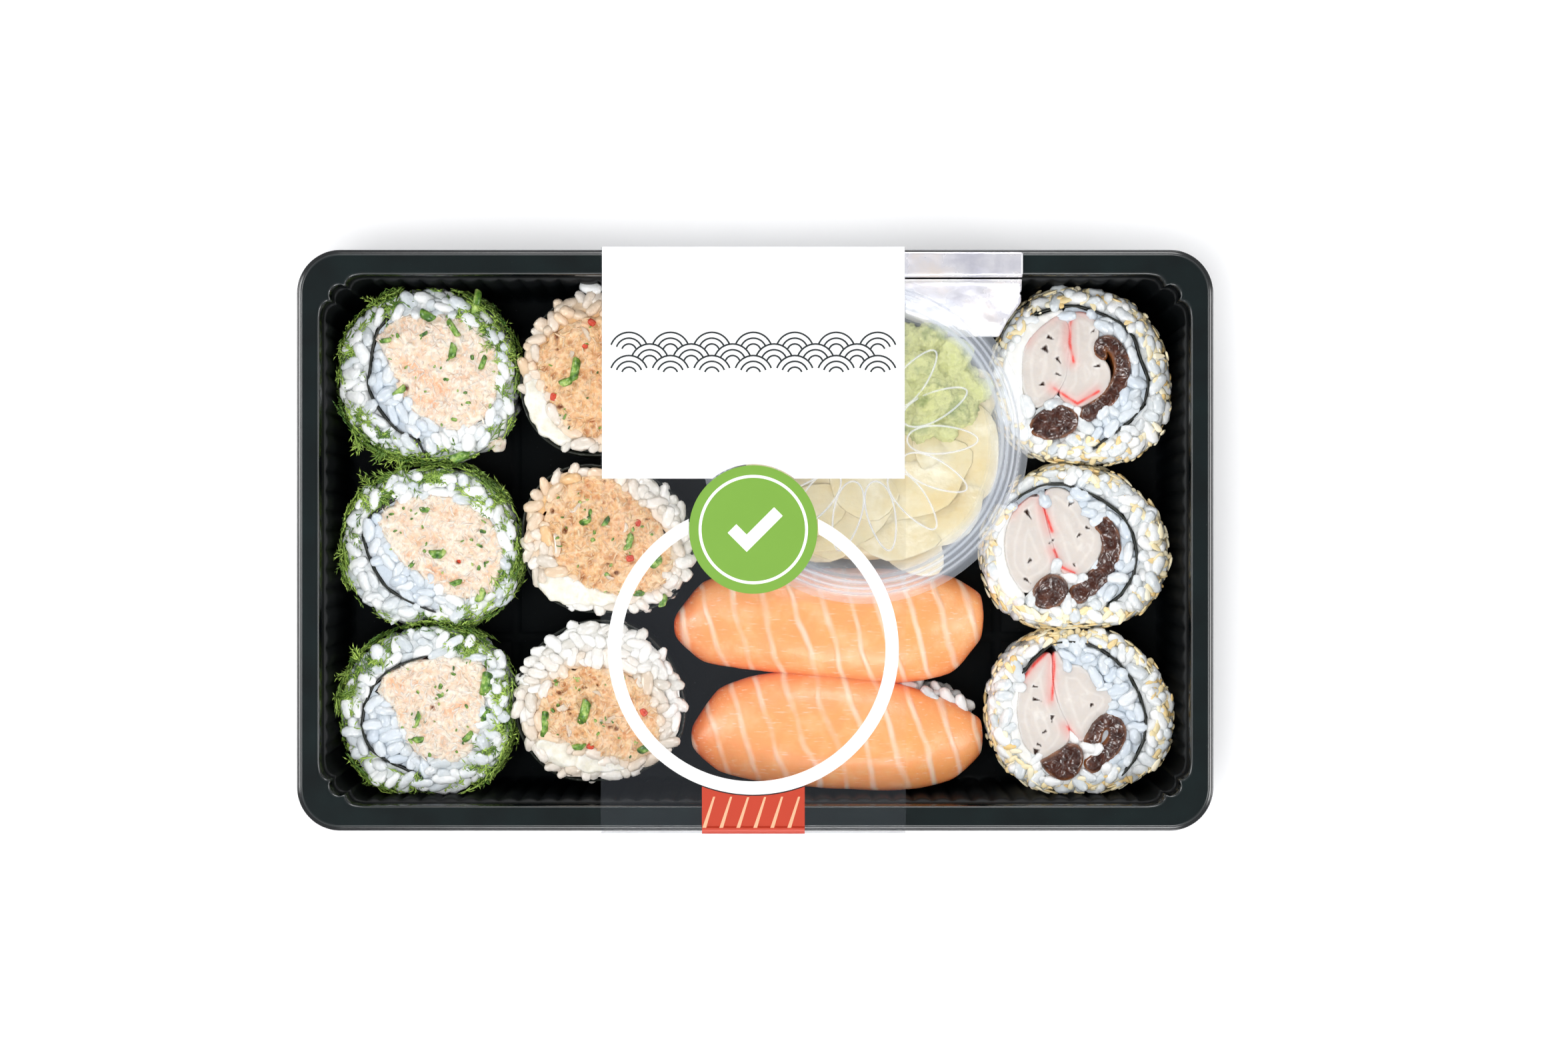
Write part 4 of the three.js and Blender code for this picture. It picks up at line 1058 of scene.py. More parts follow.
def rice_piece(roll, material, look, seed, keep_off, tint, side=(5.0, 24.0)):
    """A roll's rice: whole grains over its cut face and its wall, and the mass below them.

    Grains on the cut face keep off the solids whose names hold one of keep_off; side is
    the lowest and highest place on the wall.
    """
    rice, reach, cut_face = roll + "_rice", 25.0, 20.0
    tree, owners = shell(nodes_like(roll))
    middle = middle_of(rice)
    chance = random.Random(seed)
    half = 0.28 * look.length / MM
    darts, taken = [], None
    for share, drop, off, lean, hold in ((1.0, 0.2, keep_off, 0.3, half),
                                         (0.7, 0.9, ("kanpyo",), 0.8, 0.4 * half)):
        top = top_darts(tree, owners, rice, middle, reach, cut_face, drop, off, lean)
        found, taken = pack(chance, 4200, share * look.top_gap / MM, hold, top, taken)
        darts += found
        if side:
            wall = side_darts(tree, owners, rice, middle, *side, drop + 0.1)
            found, taken = pack(chance, 2600, share * look.side_gap / MM, hold, wall, taken)
            darts += found
    return pressed_rice(roll, darts, chance, material, look, seed, tint)


def pressed_rice(roll, darts, chance, material, look, seed, tint=None):
    """Grains and the mass that they are part of, as one piece."""
    name, rice = roll + "_pressed_rice", roll + "_rice"
    core = core_piece(name, rice, 0.3, 0.75)
    tints = [tint(place) * chance.uniform(0.3, 1) if tint else 0.0 for place, _, _ in darts]
    darts = dress(darts, chance, GRAIN_KINDS, 0.85, 1.12)
    grains = scattered(name + "_grains", darts, grain_shapes(look), material, seed, [("tint", tints)])
    places, _ = points_of(core)
    attribute(core, "tint", [tint(Vector(place)) if tint else 0.0 for place in places.tolist()])
    # The mass between the grains is a little glassier than the average grain: a little painted shade in the
    # gaps.
    attribute(core, "shade", [0.4] * len(places))
    reworked(core.data, lambda body: body.from_mesh(grains.data))
    bpy.data.objects.remove(grains)
    return finish(core, material, "rice", rice)


def behind_sheet(name, middle):
    """Tells how far a place lies inside a roll's seaweed sheet: 1 inside it, 0 outside."""
    tree, _ = shell([name])

    def tint(place):
        out = Vector((place[0] - middle[0], place[1] - middle[1], 0))
        if out.length < 1e-6:
            return 1.0
        start = Vector((place[0], place[1], 20))
        return 1.0 if tree.ray_cast(start, out.normalized(), 12)[0] is not None else 0.0

    return tint


def near_filling(name, spread, toward, strength):
    """Tells how much a filling stains a place beside it, and more so to one side."""
    outline = smoothed(top_outline(name), 1.0)
    middle = middle_of(name)

    def tint(place):
        gap = -reach_in(np.array([[place[0], place[1]]]), outline)[0]
        turn = math.atan2(place[1] - middle[1], place[0] - middle[0]) - math.radians(toward)
        return min(1, 0.75 * float(np.exp(-max(gap, 0) / spread)) + strength * max(0, math.cos(turn)))

    return tint


def core_piece(name, node, swell, sink):
    """The pressed mass between the grains: the solid, swollen a little and sunk on top."""
    core = node_copy(node, name)

    def swollen(body):
        bmesh.ops.recalc_face_normals(body, faces=body.faces)
        body.normal_update()
        for v in body.verts:
            v.co += v.normal * swell * MM
        top = max(v.co.z for v in body.verts) / MM
        for v in body.verts:
            v.co.z -= sink * MM * min(1, max(0, (v.co.z / MM - top + 5) / 4))

    reworked(core.data, swollen)
    core.data.polygons.foreach_set("use_smooth", [False] * len(core.data.polygons))
    return core


# -------------------------------------------------------------------------------- reliefs


def flaky(seed, height=1.0, pits=(), warm=(), crown=0.5):
    """Mashed fish: lumps, torn fibres and small pits."""

    def relief(x, y, reach):
        lumps = 0.45 * field(x, y, 3.6, seed) + 0.4 * field(x, y, 1.8, seed + 1)
        torn = 0.5 * ridges(x + 0.8 * lumps, y, 1.3, seed + 2) ** 3 + 0.28 * field(x, y, 0.75, seed + 3)
        deep = blot(x, y, [(px, py, 0.7 * rx, 0.7 * ry) for px, py, rx, ry in pits])
        patches = np.clip(1.6 * field(x + lumps, y, 2.7, seed + 4) - 0.35, 0, 1)
        rise = height * (lumps + torn) + crown * np.minimum(1, reach / 5)
        smear = np.exp(-((reach / 1.3) ** 2)) * np.clip(0.7 + field(x, y, 6, seed + 5), 0, 1)
        # pale paints the crests lighter as light, together with a real smear of cream near the rim; hollow
        # and deep paint the hollows and pits darker as shade.
        return rise - 1.5 * deep - 0.5 * streak(x, y, warm), {
            "deep": deep, "warm": np.clip(0.8 * streak(x, y, warm) + 0.22 * patches, 0, 1),
            "pale": np.clip(1.3 * (lumps + torn) - 0.35 + smear, 0, 1),
            "hollow": np.clip(-0.4 - 1.5 * (lumps + torn - 0.15), 0, 1),
        }

    return relief


def crack(x, y, chance):
    """A three-cornered gap between the leaves of a stick: place, long and short reach, turn."""
    long = chance.uniform(0.7, 1.6)
    return x, y, long, long * chance.uniform(0.25, 0.7), chance.uniform(0, math.pi)


def wedges(x, y, spots):
    """How strongly each place is covered by three-cornered gaps."""
    cover = np.zeros_like(x)
    for px, py, long, short, turn in spots:
        u = ((x - px) * math.cos(turn) + (y - py) * math.sin(turn)) / long
        v = ((y - py) * math.cos(turn) - (x - px) * math.sin(turn)) / short
        edge = np.max([math.cos(a) * u + math.sin(a) * v for a in (0.0, 2.1, 4.2)], 0)
        cover = np.maximum(cover, np.clip(3.5 * (0.7 - edge), 0, 1))
    return cover


def layered(seed, red=(), cracks=()):
    """Crab stick at its cut end: rolled leaves, seen as faint lines along its outline."""

    def relief(x, y, reach):
        sway = 0.9 * field(x, y, 4.5, seed)
        leaves = np.cos(TURN * (reach + sway) / 2.6)
        deep = wedges(x, y, cracks)
        fine = 0.1 * field(x, y, 0.9, seed + 1) + 0.25 * field(x, y, 5, seed + 2)
        stain = streak(x, y, [(0.6 * width, path) for width,
                              path in red]) * np.clip(0.95 + 0.7 * field(x, y, 1.8, seed), 0.4, 1)
        blush = 0.3 * streak(x + 0.5, y, [(3 * width, path) for width, path in red])
        # deep paints the gaps between the leaves near black: painted shade.
        return 0.05 * leaves + fine - 1.1 * deep - 0.2 * stain, {
            "deep": deep, "red": np.clip(stain + blush, 0, 1),
            "pale": 0.4 * np.clip(leaves - 0.4, 0, 1),
        }

    return relief


def smeared(seed, height=0.6):
    """Cream cheese: soft folds left by the knife."""

    def relief(x, y, reach):
        rise = height * (0.6 * field(x, y, 3.4, seed) + 0.3 * field(x, y, 1.3, seed + 1))
        return rise, {"deep": np.zeros_like(x)}

    return relief


def wrinkled(seed):
    """Braised gourd: fat glossy folds with fine wrinkles."""

    def relief(x, y, reach):
        folds = 0.75 * field(x, y, 3.0, seed) + 0.4 * ridges(x, y, 1.5, seed + 1) ** 2
        fine = 0.14 * field(x, y, 0.6, seed + 2)
        return folds + fine + 0.3 * np.minimum(1, reach / 1.5), {
            # thin paints the rim lighter and redder: painted light let through the thin edge.
            "thin": np.clip(1 - reach / 0.9, 0, 1) * np.clip(0.6 + field(x, y, 2.2, seed + 3), 0, 1),
        }

    return relief


def crumpled(seed):
    """The cut edge of a wet seaweed sheet."""

    def relief(x, y, reach):
        return 0.25 * field(x, y, 1.6, seed) + 0.35 * field(x, y, 4.5,
                                                            seed + 1), {"deep": np.zeros_like(x)}

    return relief


def food_block(name, node, relief, material, slot, top=0.2, cell=0.42, **shape_settings):
    """Replaces one straight-sided filling with a finely shaped block on the same outline."""
    low, high = box_of(node)
    shape = slab(top_outline(node), low.z, high.z + top, cell, relief, **shape_settings)
    return finish(mesh_piece(name, shape), material, slot, node)


def seaweed_sheet(name, seed):
    """The seaweed sheet inside a roll, which stands a little over the rice."""
    food_block(name + "_sheet", name + "_nori", crumpled(seed), plain_food("Roasted seaweed"), "nori",
               top=1.4,
               edge=0.2, wobble=0.15, passes=2, grow=-0.1)


# ---------------------------------------------------------------------------- the pieces


def wall_ring(half_x, half_y, radius, flute, scallop, z, sides):
    """One level of the tray: straight sides with ribs, corners with scallops."""
    steps, lobes = 8, 3
    ring = []
    for side in range(4):
        turn = side * math.pi / 2
        along, across = (half_x, half_y) if side % 2 else (half_y, half_x)
        flutes = sides[side % 2]

        def place(outwards, sideways):
            ring.append((
                outwards * math.cos(turn) - sideways * math.sin(turn),
                outwards * math.sin(turn) + sideways * math.cos(turn),
                z,
            ))

        for i in range(flutes * steps):
            rib = abs(math.cos(math.pi * i / steps)) ** 0.7
            place(across - flute * rib, (along - radius) * (2 * i / (flutes * steps) - 1))
        for i in range(lobes * steps):
            part = i / steps
            cusp = 1 - math.sin(math.pi * (part % 1)) ** 0.8
            reach = radius - scallop * cusp * (0.5 < part < lobes - 0.5)
            angle = part / lobes * math.pi / 2
            place(across - radius + reach * math.cos(angle), along - radius + reach * math.sin(angle))
    return ring


def tray_shape(look):
    """The tray from the foot of its outside over its rolled rim and down to its floor."""
    low, high = box_of("tray")
    half_x, half_y, foot, top = high.x, high.y, low.z, high.z
    rim_x, rim_y, floor, corner = half_x - TRAY_RIM[0], half_y - TRAY_RIM[1], foot + 0.8, 10.5
    pitch, deep, scallop = look.flute_pitch / MM, look.flute_depth / MM, look.scallop / MM
    sides = [round(2 * (rim - TRAY_CAVITY) / pitch) for rim in (rim_y, rim_x)]

    def outer(inset, z):
        return wall_ring(half_x - inset, half_y - inset, corner - inset, 0, 0, z, sides)

    def inner(extra, z, flute=0.0, lobe=1.0):
        inset = TRAY_DRAFT * (top - z) / (top - floor) + extra
        return wall_ring(rim_x - inset, rim_y - inset, TRAY_CAVITY, flute, scallop * lobe, z, sides)

    rings = [
        inner(-0.6, foot, 0, 0), inner(-0.95, foot + 0.5, 0, 0), inner(-1, 14, 0, 0),
        inner(-1, 32.6, 0, 0),
        outer(3.2, 33.1), outer(0.9, 33.0), outer(0.8, 31.2), outer(0.7, 31), outer(0.1, 31),
        outer(0, 31.2),
        outer(0, 33), outer(0.12, 33.3), outer(0.35, 33.42), outer(0.85, 33.45), outer(1, 33.6),
        outer(1.15, 33.9), outer(1.45, top), outer(1.6, top), outer(3.2, top),
        inner(-1.0, top), inner(-0.62, top), inner(-0.33, 33.93), inner(-0.12, 33.74),
        inner(-0.02, 33.45), inner(-0.4, 28.2), inner(-0.38, 27.75),
        inner(-0.2, 27.55, 0.05), inner(-0.02, 27.4, 0.3 * deep), inner(0, 27, 0.75 * deep),
        inner(0, 26.3, deep), inner(0, 20, deep), inner(0, 12, deep), inner(0, 5, deep),
        inner(0.05, 3, 1.1 * deep), inner(0.35, 2.1, 1.1 * deep), inner(1.0, 1.6, 0.6 * deep),
    ]
    last = inner(1.9, floor, 0, 0.6)
    grooves = (rim_x - TRAY_DRAFT - 6, rim_y - TRAY_DRAFT - 6)
    return joined(loft([*rings, last], end_cap=False), floor_plate(last, floor, *grooves))


def floor_plate(rim, level, end_x, end_y):
    """The tray's floor with its grooves, on the outline of the wall's foot."""
    half, depth = 1.2, 0.4
    lines = [(x, None) for x in (-60.5, 60.5)] + [(None, y) for y in (-24.6, 8.7, 49.6)]
    plan = [Vector(p[:2]) for p in rim]
    edges = []
    for x, y in lines:
        for shift in (-1.5, -1.2, -0.8, 0, 0.8, 1.2, 1.5):
            end = end_y if y is None else end_x
            stops = [-end, -end + 1.2, end - 1.2, end]
            row = [(x + shift, s) if y is None else (s, y + shift) for s in stops]
            first = len(plan)
            plan += [Vector(p) for p in row]
            edges += [(first + k, first + k + 1) for k in range(3)]
    found, _, triangles, _, _, _ = delaunay_2d_cdt(plan, edges, [list(range(len(rim)))], 1, 1e-6)
    points = []
    for p in found:
        sunk = 0.0
        for x, y in lines:
            gap, run, end = (abs(p.x - x), abs(p.y), end_y) if y is None else (abs(p.y - y), abs(p.x),
                                                                               end_x)
            cut = min(1, max(0, (half + 0.15 - gap) / 0.45)) * min(1, max(0, (end - run) / 1.2))
            sunk = max(sunk, cut)
        points.append((p.x, p.y, level - depth * sunk))
    return points, [list(t) for t in triangles]


class SUSHITRAY_OT_tray(bpy.types.Operator):
    """Makes the moulded tray"""

    bl_idname = "sushi_tray.tray"
    bl_label = "Moulded tray"

    def execute(self, context):
        look = context.scene.sushi_tray_tray
        piece = mesh_piece("moulded_tray", tray_shape(look), mend=True)
        finish(piece, moulded_plastic(look.black, look.bloom), "tray", "tray")
        return {"FINISHED"}


FILM = {"half": 70.88, "round": 1.5, "sheet": 0.25}


def film_top():
    """The level of the band's upper face, which the prints lie on."""
    return box_of("label_ring")[0].z


def band_profile(offset, steps=8):
    """The band in the plane across the tray: a rounded rectangle as (y, z)."""
    half, top, r = FILM["half"] + offset, film_top() + offset, FILM["round"] + offset
    y, high, low = half - r, top - r, r - offset
    profile = []
    for corner, centre in enumerate(((y, high), (-y, high), (-y, low), (y, low))):
        for step in range(steps + 1):
            angle = (corner + step / steps) * math.pi / 2
            profile.append((centre[0] + r * math.cos(angle), centre[1] + r * math.sin(angle)))
        if corner in (0, 2):
            level = top if corner == 0 else -offset
            profile += [((1 - corner) * y * (1 - k / 8), level) for k in range(1, 16)]
    return profile


def film_shape():
    """The band as a thin sheet that closes on itself and sags a little over the tray."""
    low, high = box_of("band_film")
    chance = random.Random(3)
    phases = [chance.uniform(0, 6) for _ in range(4)]
    skins = []
    for offset in (0.0, -FILM["sheet"]):
        rows = []
        for i in range(13):
            x = low.x + (high.x - low.x) * i / 12
            ring = []
            for y, z in band_profile(offset):
                over = z > 30 and abs(y) < 66
                sag = 0.05 * math.sin(0.21 * x + phases[0]) * math.sin(0.09 * y + phases[1]) - 0.05
                ring.append((x, y, z + sag * over))
            rows.append(ring)
        skins.append(rows)
    return loft(skins[0] + skins[1][::-1], loop=True)


def sheet_on_film(outline, thickness=0.1, lift=0.0):
    """A flat patch of ink on top of the band."""
    level = film_top() + 0.01 + lift
    return prism(outline, level, level + thickness)


def ink_round_corner(x0, x1, sign, drop=16):
    """Ink that goes on round the band's edge and down its side."""
    top, r, half = film_top(), FILM["round"], FILM["half"]
    inner, outer = (
        [(half - r - 0.4, top + offset),
         *((half - r + (r + offset) * c, top - r + (r + offset) * s) for c, s in circle(32)[8::-1]),
         (half + offset, top - drop)]
        for offset in (0.01, 0.11)
    )
    return loft([[(x, sign * y, z) for y, z in outer + inner[::-1]] for x in (x0, x1)])


def arc(x, y, radius, start, end, count):
    """Points on a part of a circle, from start to end in degrees."""
    return [
        (x + radius * math.cos(math.radians(start + (end - start) * i / count)),
         y + radius * math.sin(math.radians(start + (end - start) * i / count)))
        for i in range(count + 1)
    ]


def bow(x, y, radius, stroke, start, end, count=24):
    """A curved stroke of ink."""
    return arc(x, y, radius, start, end, count) + arc(x, y, radius - stroke, end, start, count)


def ornament(outlines):
    """A second, thinner lay of ink on a print."""
    return joined(*(sheet_on_film(outline, 0.04, 0.1) for outline in outlines))


def print_piece(name, shape, ink, slot, *nodes):
    """One flat print, which throws no shadow on what lies under the band."""
    piece = finish(mesh_piece(name, shape, mend=True, smooth=False), ink, slot, *nodes)
    piece.visible_shadow = False


class SUSHITRAY_OT_film(bpy.types.Operator):
    """Makes the clear band and its prints"""

    bl_idname = "sushi_tray.film"
    bl_label = "Printed film band"

    def execute(self, context):
        look = context.scene.sushi_tray_film
        film = clear_plastic("Clear polypropylene film", look.tint, look.haze, 0.5)
        band = finish(mesh_piece("film_band", film_shape(), mend=True, smooth=False), film, "film",
                      "band_film")
        band.visible_shadow = False
        low, high = box_of("label_panel")
        left, right, foot, centre = low.x, high.x, low.y, (low.x + high.x) / 2
        badge_low, badge_high = box_of("label_badge")
        badge_y, badge_r = (badge_low.y + badge_high.y) / 2, (badge_high.y - badge_low.y) / 2
        flat = FILM["half"] - FILM["round"]
        keep = badge_r + 0.3
        bite = math.degrees(math.asin((foot - badge_y) / keep))
        outline = [(left, foot), *arc(centre, badge_y, keep, 180 - bite, bite, 40), (right, foot),
                   (right, flat), (left, flat)]
        white = print_ink("White", look.white)
        panel = joined(sheet_on_film(outline), ink_round_corner(left, right, 1))
        print_piece("white_panel", panel, white, "white_print", "label_panel")
        disc = sheet_on_film(arc(centre, badge_y, badge_r, 0, 360, 95)[:-1])
        print_piece("green_disc", disc, print_ink("Green", look.green), "green_print", "label_badge")
        ring_low, ring_high = box_of("label_ring")
        radius = (ring_high.x - ring_low.x) / 2
        ring_y, stroke = ring_low.y + radius, 3.2
        span, rows = badge_y - ring_y, []
        for r in (radius, radius - stroke):
            open_half = math.degrees(math.acos((r * r + span * span - keep * keep) / (2 * r * span)))
            rows.append(arc(centre, ring_y, r, 90 + open_half, 450 - open_half, 140))
        ring = sheet_on_film(rows[0] + rows[1][::-1])
        print_piece("white_ring", ring, white, "white_print", "label_ring")
        strip_low, strip_high = box_of("label_strip")
        x0, x1, edge = strip_low.x, strip_high.x, radius + 0.3
        swing = math.degrees(math.asin((x1 - centre) / edge))
        outline = [(x0, -flat), (x1, -flat), *arc(centre, ring_y, edge, -90 + swing, -90 - swing, 30)]
        strip = joined(sheet_on_film(outline), ink_round_corner(x0, x1, -1))
        print_piece("red_strip", strip, print_ink("Red", look.red), "red_print", "label_strip")
        self.tick(centre, badge_y, white)
        self.waves(centre, left, right)
        self.stripes(centre, x0, x1, -flat, ring_y, edge, look.pale)
        return {"FINISHED"}

    def tick(self, x, y, white):
        """A tick and a fine ring on the disc."""
        corners = [(-6.2, 0.6), (-4.1, 2.7), (-1.6, 0.2), (5.0, 6.8), (7.1, 4.7), (-1.6, -4.0)]
        outlines = [[(x + dx, y - 1.4 + dy) for dx, dy in corners], bow(x, y, 13.2, 0.7, 0, 359.9, 90)]
        print_piece("disc_tick", ornament(outlines), white, "white_print")

    def waves(self, centre, left, right):
        """Rows of plain wave arcs on the panel."""
        step, foot, lift, outlines = 10.0, 40, 2.8, []
        for row in range(3):
            for k in range(-4, 4):
                x = centre + (k + 0.5 * (row % 2)) * step
                if left + 1 <= x - step / 2 and x + step / 2 <= right - 1:
                    outlines += [bow(x, foot + row * lift, r, 0.42, 20, 160, 16) for r in (4.8, 3.4,
                                                                                           2.0)]
        print_piece("panel_waves", ornament(outlines), print_ink("Grey", linear("#2E3335")),
                    "white_print")

    def stripes(self, centre, left, right, y, ring_y, edge, tone):
        """Slanted lines on the strip, which end short of the ring."""
        slant, outlines = 2.6, []
        for k in range(-3, 4):
            x = centre + 4.1 * k
            reach = ring_y - math.sqrt(max(edge**2 - (x + slant - centre) ** 2, 0)) - 0.35 - y
            rise = min(7.5, reach)
            if x + slant + 0.9 < right and x > left:
                outlines.append([(x, y), (x + 0.9, y), (x + slant + 0.5, y + rise),
                                 (x + slant, y + rise)])
        print_piece("strip_stripes", ornament(outlines), print_ink("Pale", tone), "red_print")


# The lid from the axis to its rim: a sunk panel, a ribbed snap ridge and a thin flange.
LID_TOP = [
    (0, 31.2), (24, 31.2), (31.6, 31.2), (32.6, 31.35), (33.2, 31.9), (33.5, 33.2), (33.7, 34.3),
    (34.1, 34.9),
    (34.6, 35.15), (35.1, 35.0), (35.35, 34.75), (35.6, 34.95), (36.1, 35.0), (36.5, 34.7),
    (36.75, 34.1),
    (37.0, 34.2), (37.4, 33.9), (37.55, 33.0), (37.8, 32.55), (38.6, 32.5), (39.3, 32.55), (39.7, 32.7),
    (39.8, 32.45),
]
LID_SHEET = 0.5
LID_CRESTS = (33.4, 34.6, 36.1, 37.4)


def ginger_slice(radius, chance, stretch):
    """One thin slice of ginger, waved, thick in the middle and thin at its rim."""
    rings, sides, thick = 7, 26, 1.0
    folds = [(chance.uniform(0, 6.28), chance.uniform(0.22, 0.4), chance.uniform(0.35, 0.9),
              chance.uniform(0, 6.28))
             for _ in range(2)]
    lobes = [(k, chance.uniform(0.02, 0.08), chance.uniform(0, 6.28)) for k in (2, 3, 5)]

    def spot(share, angle, up):
        r = radius * share * (1 + sum(size * math.cos(k * angle + phase) for k, size, phase in lobes))
        x, y = r * math.cos(angle) * stretch, r * math.sin(angle) / stretch
        z = sum(height * math.sin(rate * (x * math.cos(a) + y * math.sin(a)) + phase)
                for a, rate, height, phase in folds)
        return x, y, z + up * thick / 2 * math.sqrt(max(0, 1 - share**4))

    shares = [math.sin(math.pi / 2 * k / rings) for k in range(1, rings + 1)]
    levels = [[spot(s, TURN * i / sides, 1) for i in range(sides)] for s in shares]
    levels += [[spot(s, TURN * i / sides, -1) for i in range(sides)] for s in shares[-2::-1]]
    return tipped(levels, spot(0, 0, 1), spot(0, 0, -1))


class SUSHITRAY_OT_pot(bpy.types.Operator):
    """Makes the pot, its lid, the wasabi and the ginger"""

    bl_idname = "sushi_tray.pot"
    bl_label = "Pot with wasabi and ginger"

    def execute(self, context):
        look = context.scene.sushi_tray_pot
        middle = middle_of("pot_lid")
        base = box_of("pot_cup")[0].z
        clear = clear_plastic("Clear polypropylene, thermoformed", look.clear, 0.035, 0.8)
        under = [(r - 0.12 if r > 33 else r, z - LID_SHEET) for r, z in LID_TOP]
        lid = finish(mesh_piece("lid", turned([*LID_TOP, *under[::-1]], 160, middle), mend=True), clear,
                     "clear_pot",
                     "pot_lid")
        lid.visible_shadow = False
        places, _ = points_of(lid)
        radius = np.hypot(places[:, 0] - middle[0], places[:, 1] - middle[1])
        # The ring and flange are painted whitish as sheen, with painted highlight lines along the crests.
        crests = np.max([np.exp(-(((radius - r) / 0.32) ** 2)) for r in LID_CRESTS], 0)
        attribute(lid, "milk", np.clip((radius - 32.2) / 0.8, 0, 1) * np.where(radius > 38, 0.2,
                                                                               0.3 + 0.9 * crests))
        cup = [
            (0, base), (24.1, base), (24.9, base + 0.4), (25.3, base + 1.5), (33.2, 33.0), (33.4, 33.6),
            (35.4, 33.65), (35.5, 34.0), (33.0, 34.1), (32.6, 33.2), (24.7, base + 2), (24.2, base + 1),
            (0, base + 0.9),
        ]
        cup = finish(mesh_piece("cup", turned(cup, 96, middle), mend=True), clear, "clear_pot",
                     "pot_cup")
        cup.visible_shadow = False
        self.petals(look, middle)
        self.wasabi(look, middle)
        self.ginger(look, middle, base)
        return {"FINISHED"}

    def petals(self, look, middle):
        """Embossed leaves: a fine raised bead round each one."""
        leaf = []
        for i in range(36):
            angle = TURN * i / 36
            x = 8.6 * math.cos(angle)
            leaf.append((x, 3.35 * math.sin(angle) * (1 - 0.22 * x / 8.6), 0.0))
        bead = tube(leaf, 0.24)
        darts = []
        for k in range(look.petals):
            angle = TURN * k / look.petals
            place = (middle[0] + 19.0 * math.cos(angle), middle[1] + 19.0 * math.sin(angle), 31.3)
            darts.append((place, (0, 0, angle), (1, 1, 1), 0))
        # The beads are drawn white and part opaque: painted highlights along the embossing.
        rib = clear_plastic("Clear polypropylene, embossed", "#FFFFFF", 0.3, 0.85, 0.3)
        leaves = finish(scattered("lid_petals", darts, [bead], rib, 4), None, "clear_pot")
        leaves.visible_shadow = False

    def wasabi(self, look, middle):
        """Wasabi spooned in: torn lumps on a heap."""
        lumps = [
            (16.6, 26.0, 25.6, 4.4), (22.4, 20.3, 26.0, 4.9), (27.4, 12.0, 25.0, 3.9),
            (13.0, 17.7, 26.4, 5.2),
            (17.1, 11.0, 26.8, 6.2), (23.4, 7.6, 25.8, 5.0), (13.5, 4.4, 25.6, 4.8),
            (19.4, 3.2, 25.0, 3.8),
            (7.0, 12.0, 25.6, 6.5), (4.0, 20.0, 24.6, 6.5), (24.8, 14.6, 24.2, 4.6),
            (10.0, 24.0, 24.6, 5.0),
            (14.5, 14.0, 21.5, 9.5), (8.5, 17.0, 20.5, 8.5), (19.5, 14.0, 21.0, 8.0),
        ]
        chance = random.Random(8)
        parts = []
        for x, y, z, r in lumps:
            ball = bean(2 * r, 1.8 * r, 1.45 * r, bend=0.3, blunt=0.6, rings=10, sides=14)
            parts.append(placed(ball, (middle[0] + x, middle[1] + y, z),
                                (chance.uniform(-0.4, 0.4), chance.uniform(-0.4, 0.4),
                                 chance.uniform(0, 6))))
        piece = remeshed(mesh_piece("wasabi_heap", joined(*parts)), 0.42, 2)
        tone = look.wasabi
        # Wasabi paste is matt grey green and crumbly, and yellower in patches.
        paste = food(
            "Wasabi paste", [(0.32, mixed(tone, "#8A985E", 0.9)), (0.5, tone),
                             (0.7, mixed(tone, "#DCE29B", 0.6))],
            patch=5, bumps=((0.7, 0.35), (0.25, 0.1)), roughness=(0.5, 0.7), soak=0.25,
            soak_mm=(1.5, 1.5, 0.8),
        )
        run_tree(piece, tree_named(rough_skin_tree), coarse_size=4.5 * MM, coarse_height=3.8 * MM,
                 fine_size=1.2 * MM, fine_height=2.0 * MM, finish=paste)
        finish(piece, None, "wasabi", "wasabi")

    def ginger(self, look, middle, base):
        """Sliced ginger: thin slices folded over one another."""
        tone = look.ginger
        # Pickled ginger is thin, wet and pale yellow: it glows where it is thin, and its crests shine.
        pickle = food(
            "Pickled ginger", [(0.3, mixed(tone, "#DDBF72", 0.5)), (0.55, tone), (0.75, "#F4ECD3")],
            patch=8, bumps=((3.2, 0.6), (0.6, 0.06)), roughness=(0.25, 0.4), soak=0.2,
            soak_mm=(1.2, 1.0, 0.7), coat=0.2,
        )
        chance = random.Random(12)
        parts = []
        slices = [
            (23, -2, 24.6, 10.5, 95), (20, -14, 24.8, 10.0, 60), (12, -8, 25.2, 11.0, 20),
            (6, -17, 25.0, 11.5, 150),
            (-6, -14, 25.4, 12.5, 30), (2, -5, 25.6, 11.0, 75), (-15, -8, 25.2, 12.0, 110),
            (-12, -20, 24.8, 10.0, 10),
            (10, -23, 24.6, 8.5, 130), (-20, 4, 24.8, 10.5, 80), (-8, 4, 25.4, 12.0, 40),
            (-16, 15, 24.8, 10.5, 120),
            (-4, 16, 25.0, 12.0, 0), (25, 9, 23.4, 7.0, 60), (2, 26, 23.8, 5.5, 20),
        ]
        for x, y, z, radius, turn in slices:
            lean = (chance.uniform(-0.24, 0.24), chance.uniform(-0.24, 0.24), math.radians(turn))
            parts.append(placed(ginger_slice(1.15 * radius, chance, 1.18),
                                (middle[0] + x, middle[1] + y, z), lean))
        bed = turned([(0, base + 1.3), (23.6, base + 1.3), (29.4, 22.0), (27, 23.6), (18, 24.4),
                      (0, 24.8)], 60, middle)
        piece = mesh_piece("ginger_slices", joined(bed, *parts), mend=True)
        finish(piece, pickle, "ginger", "ginger")


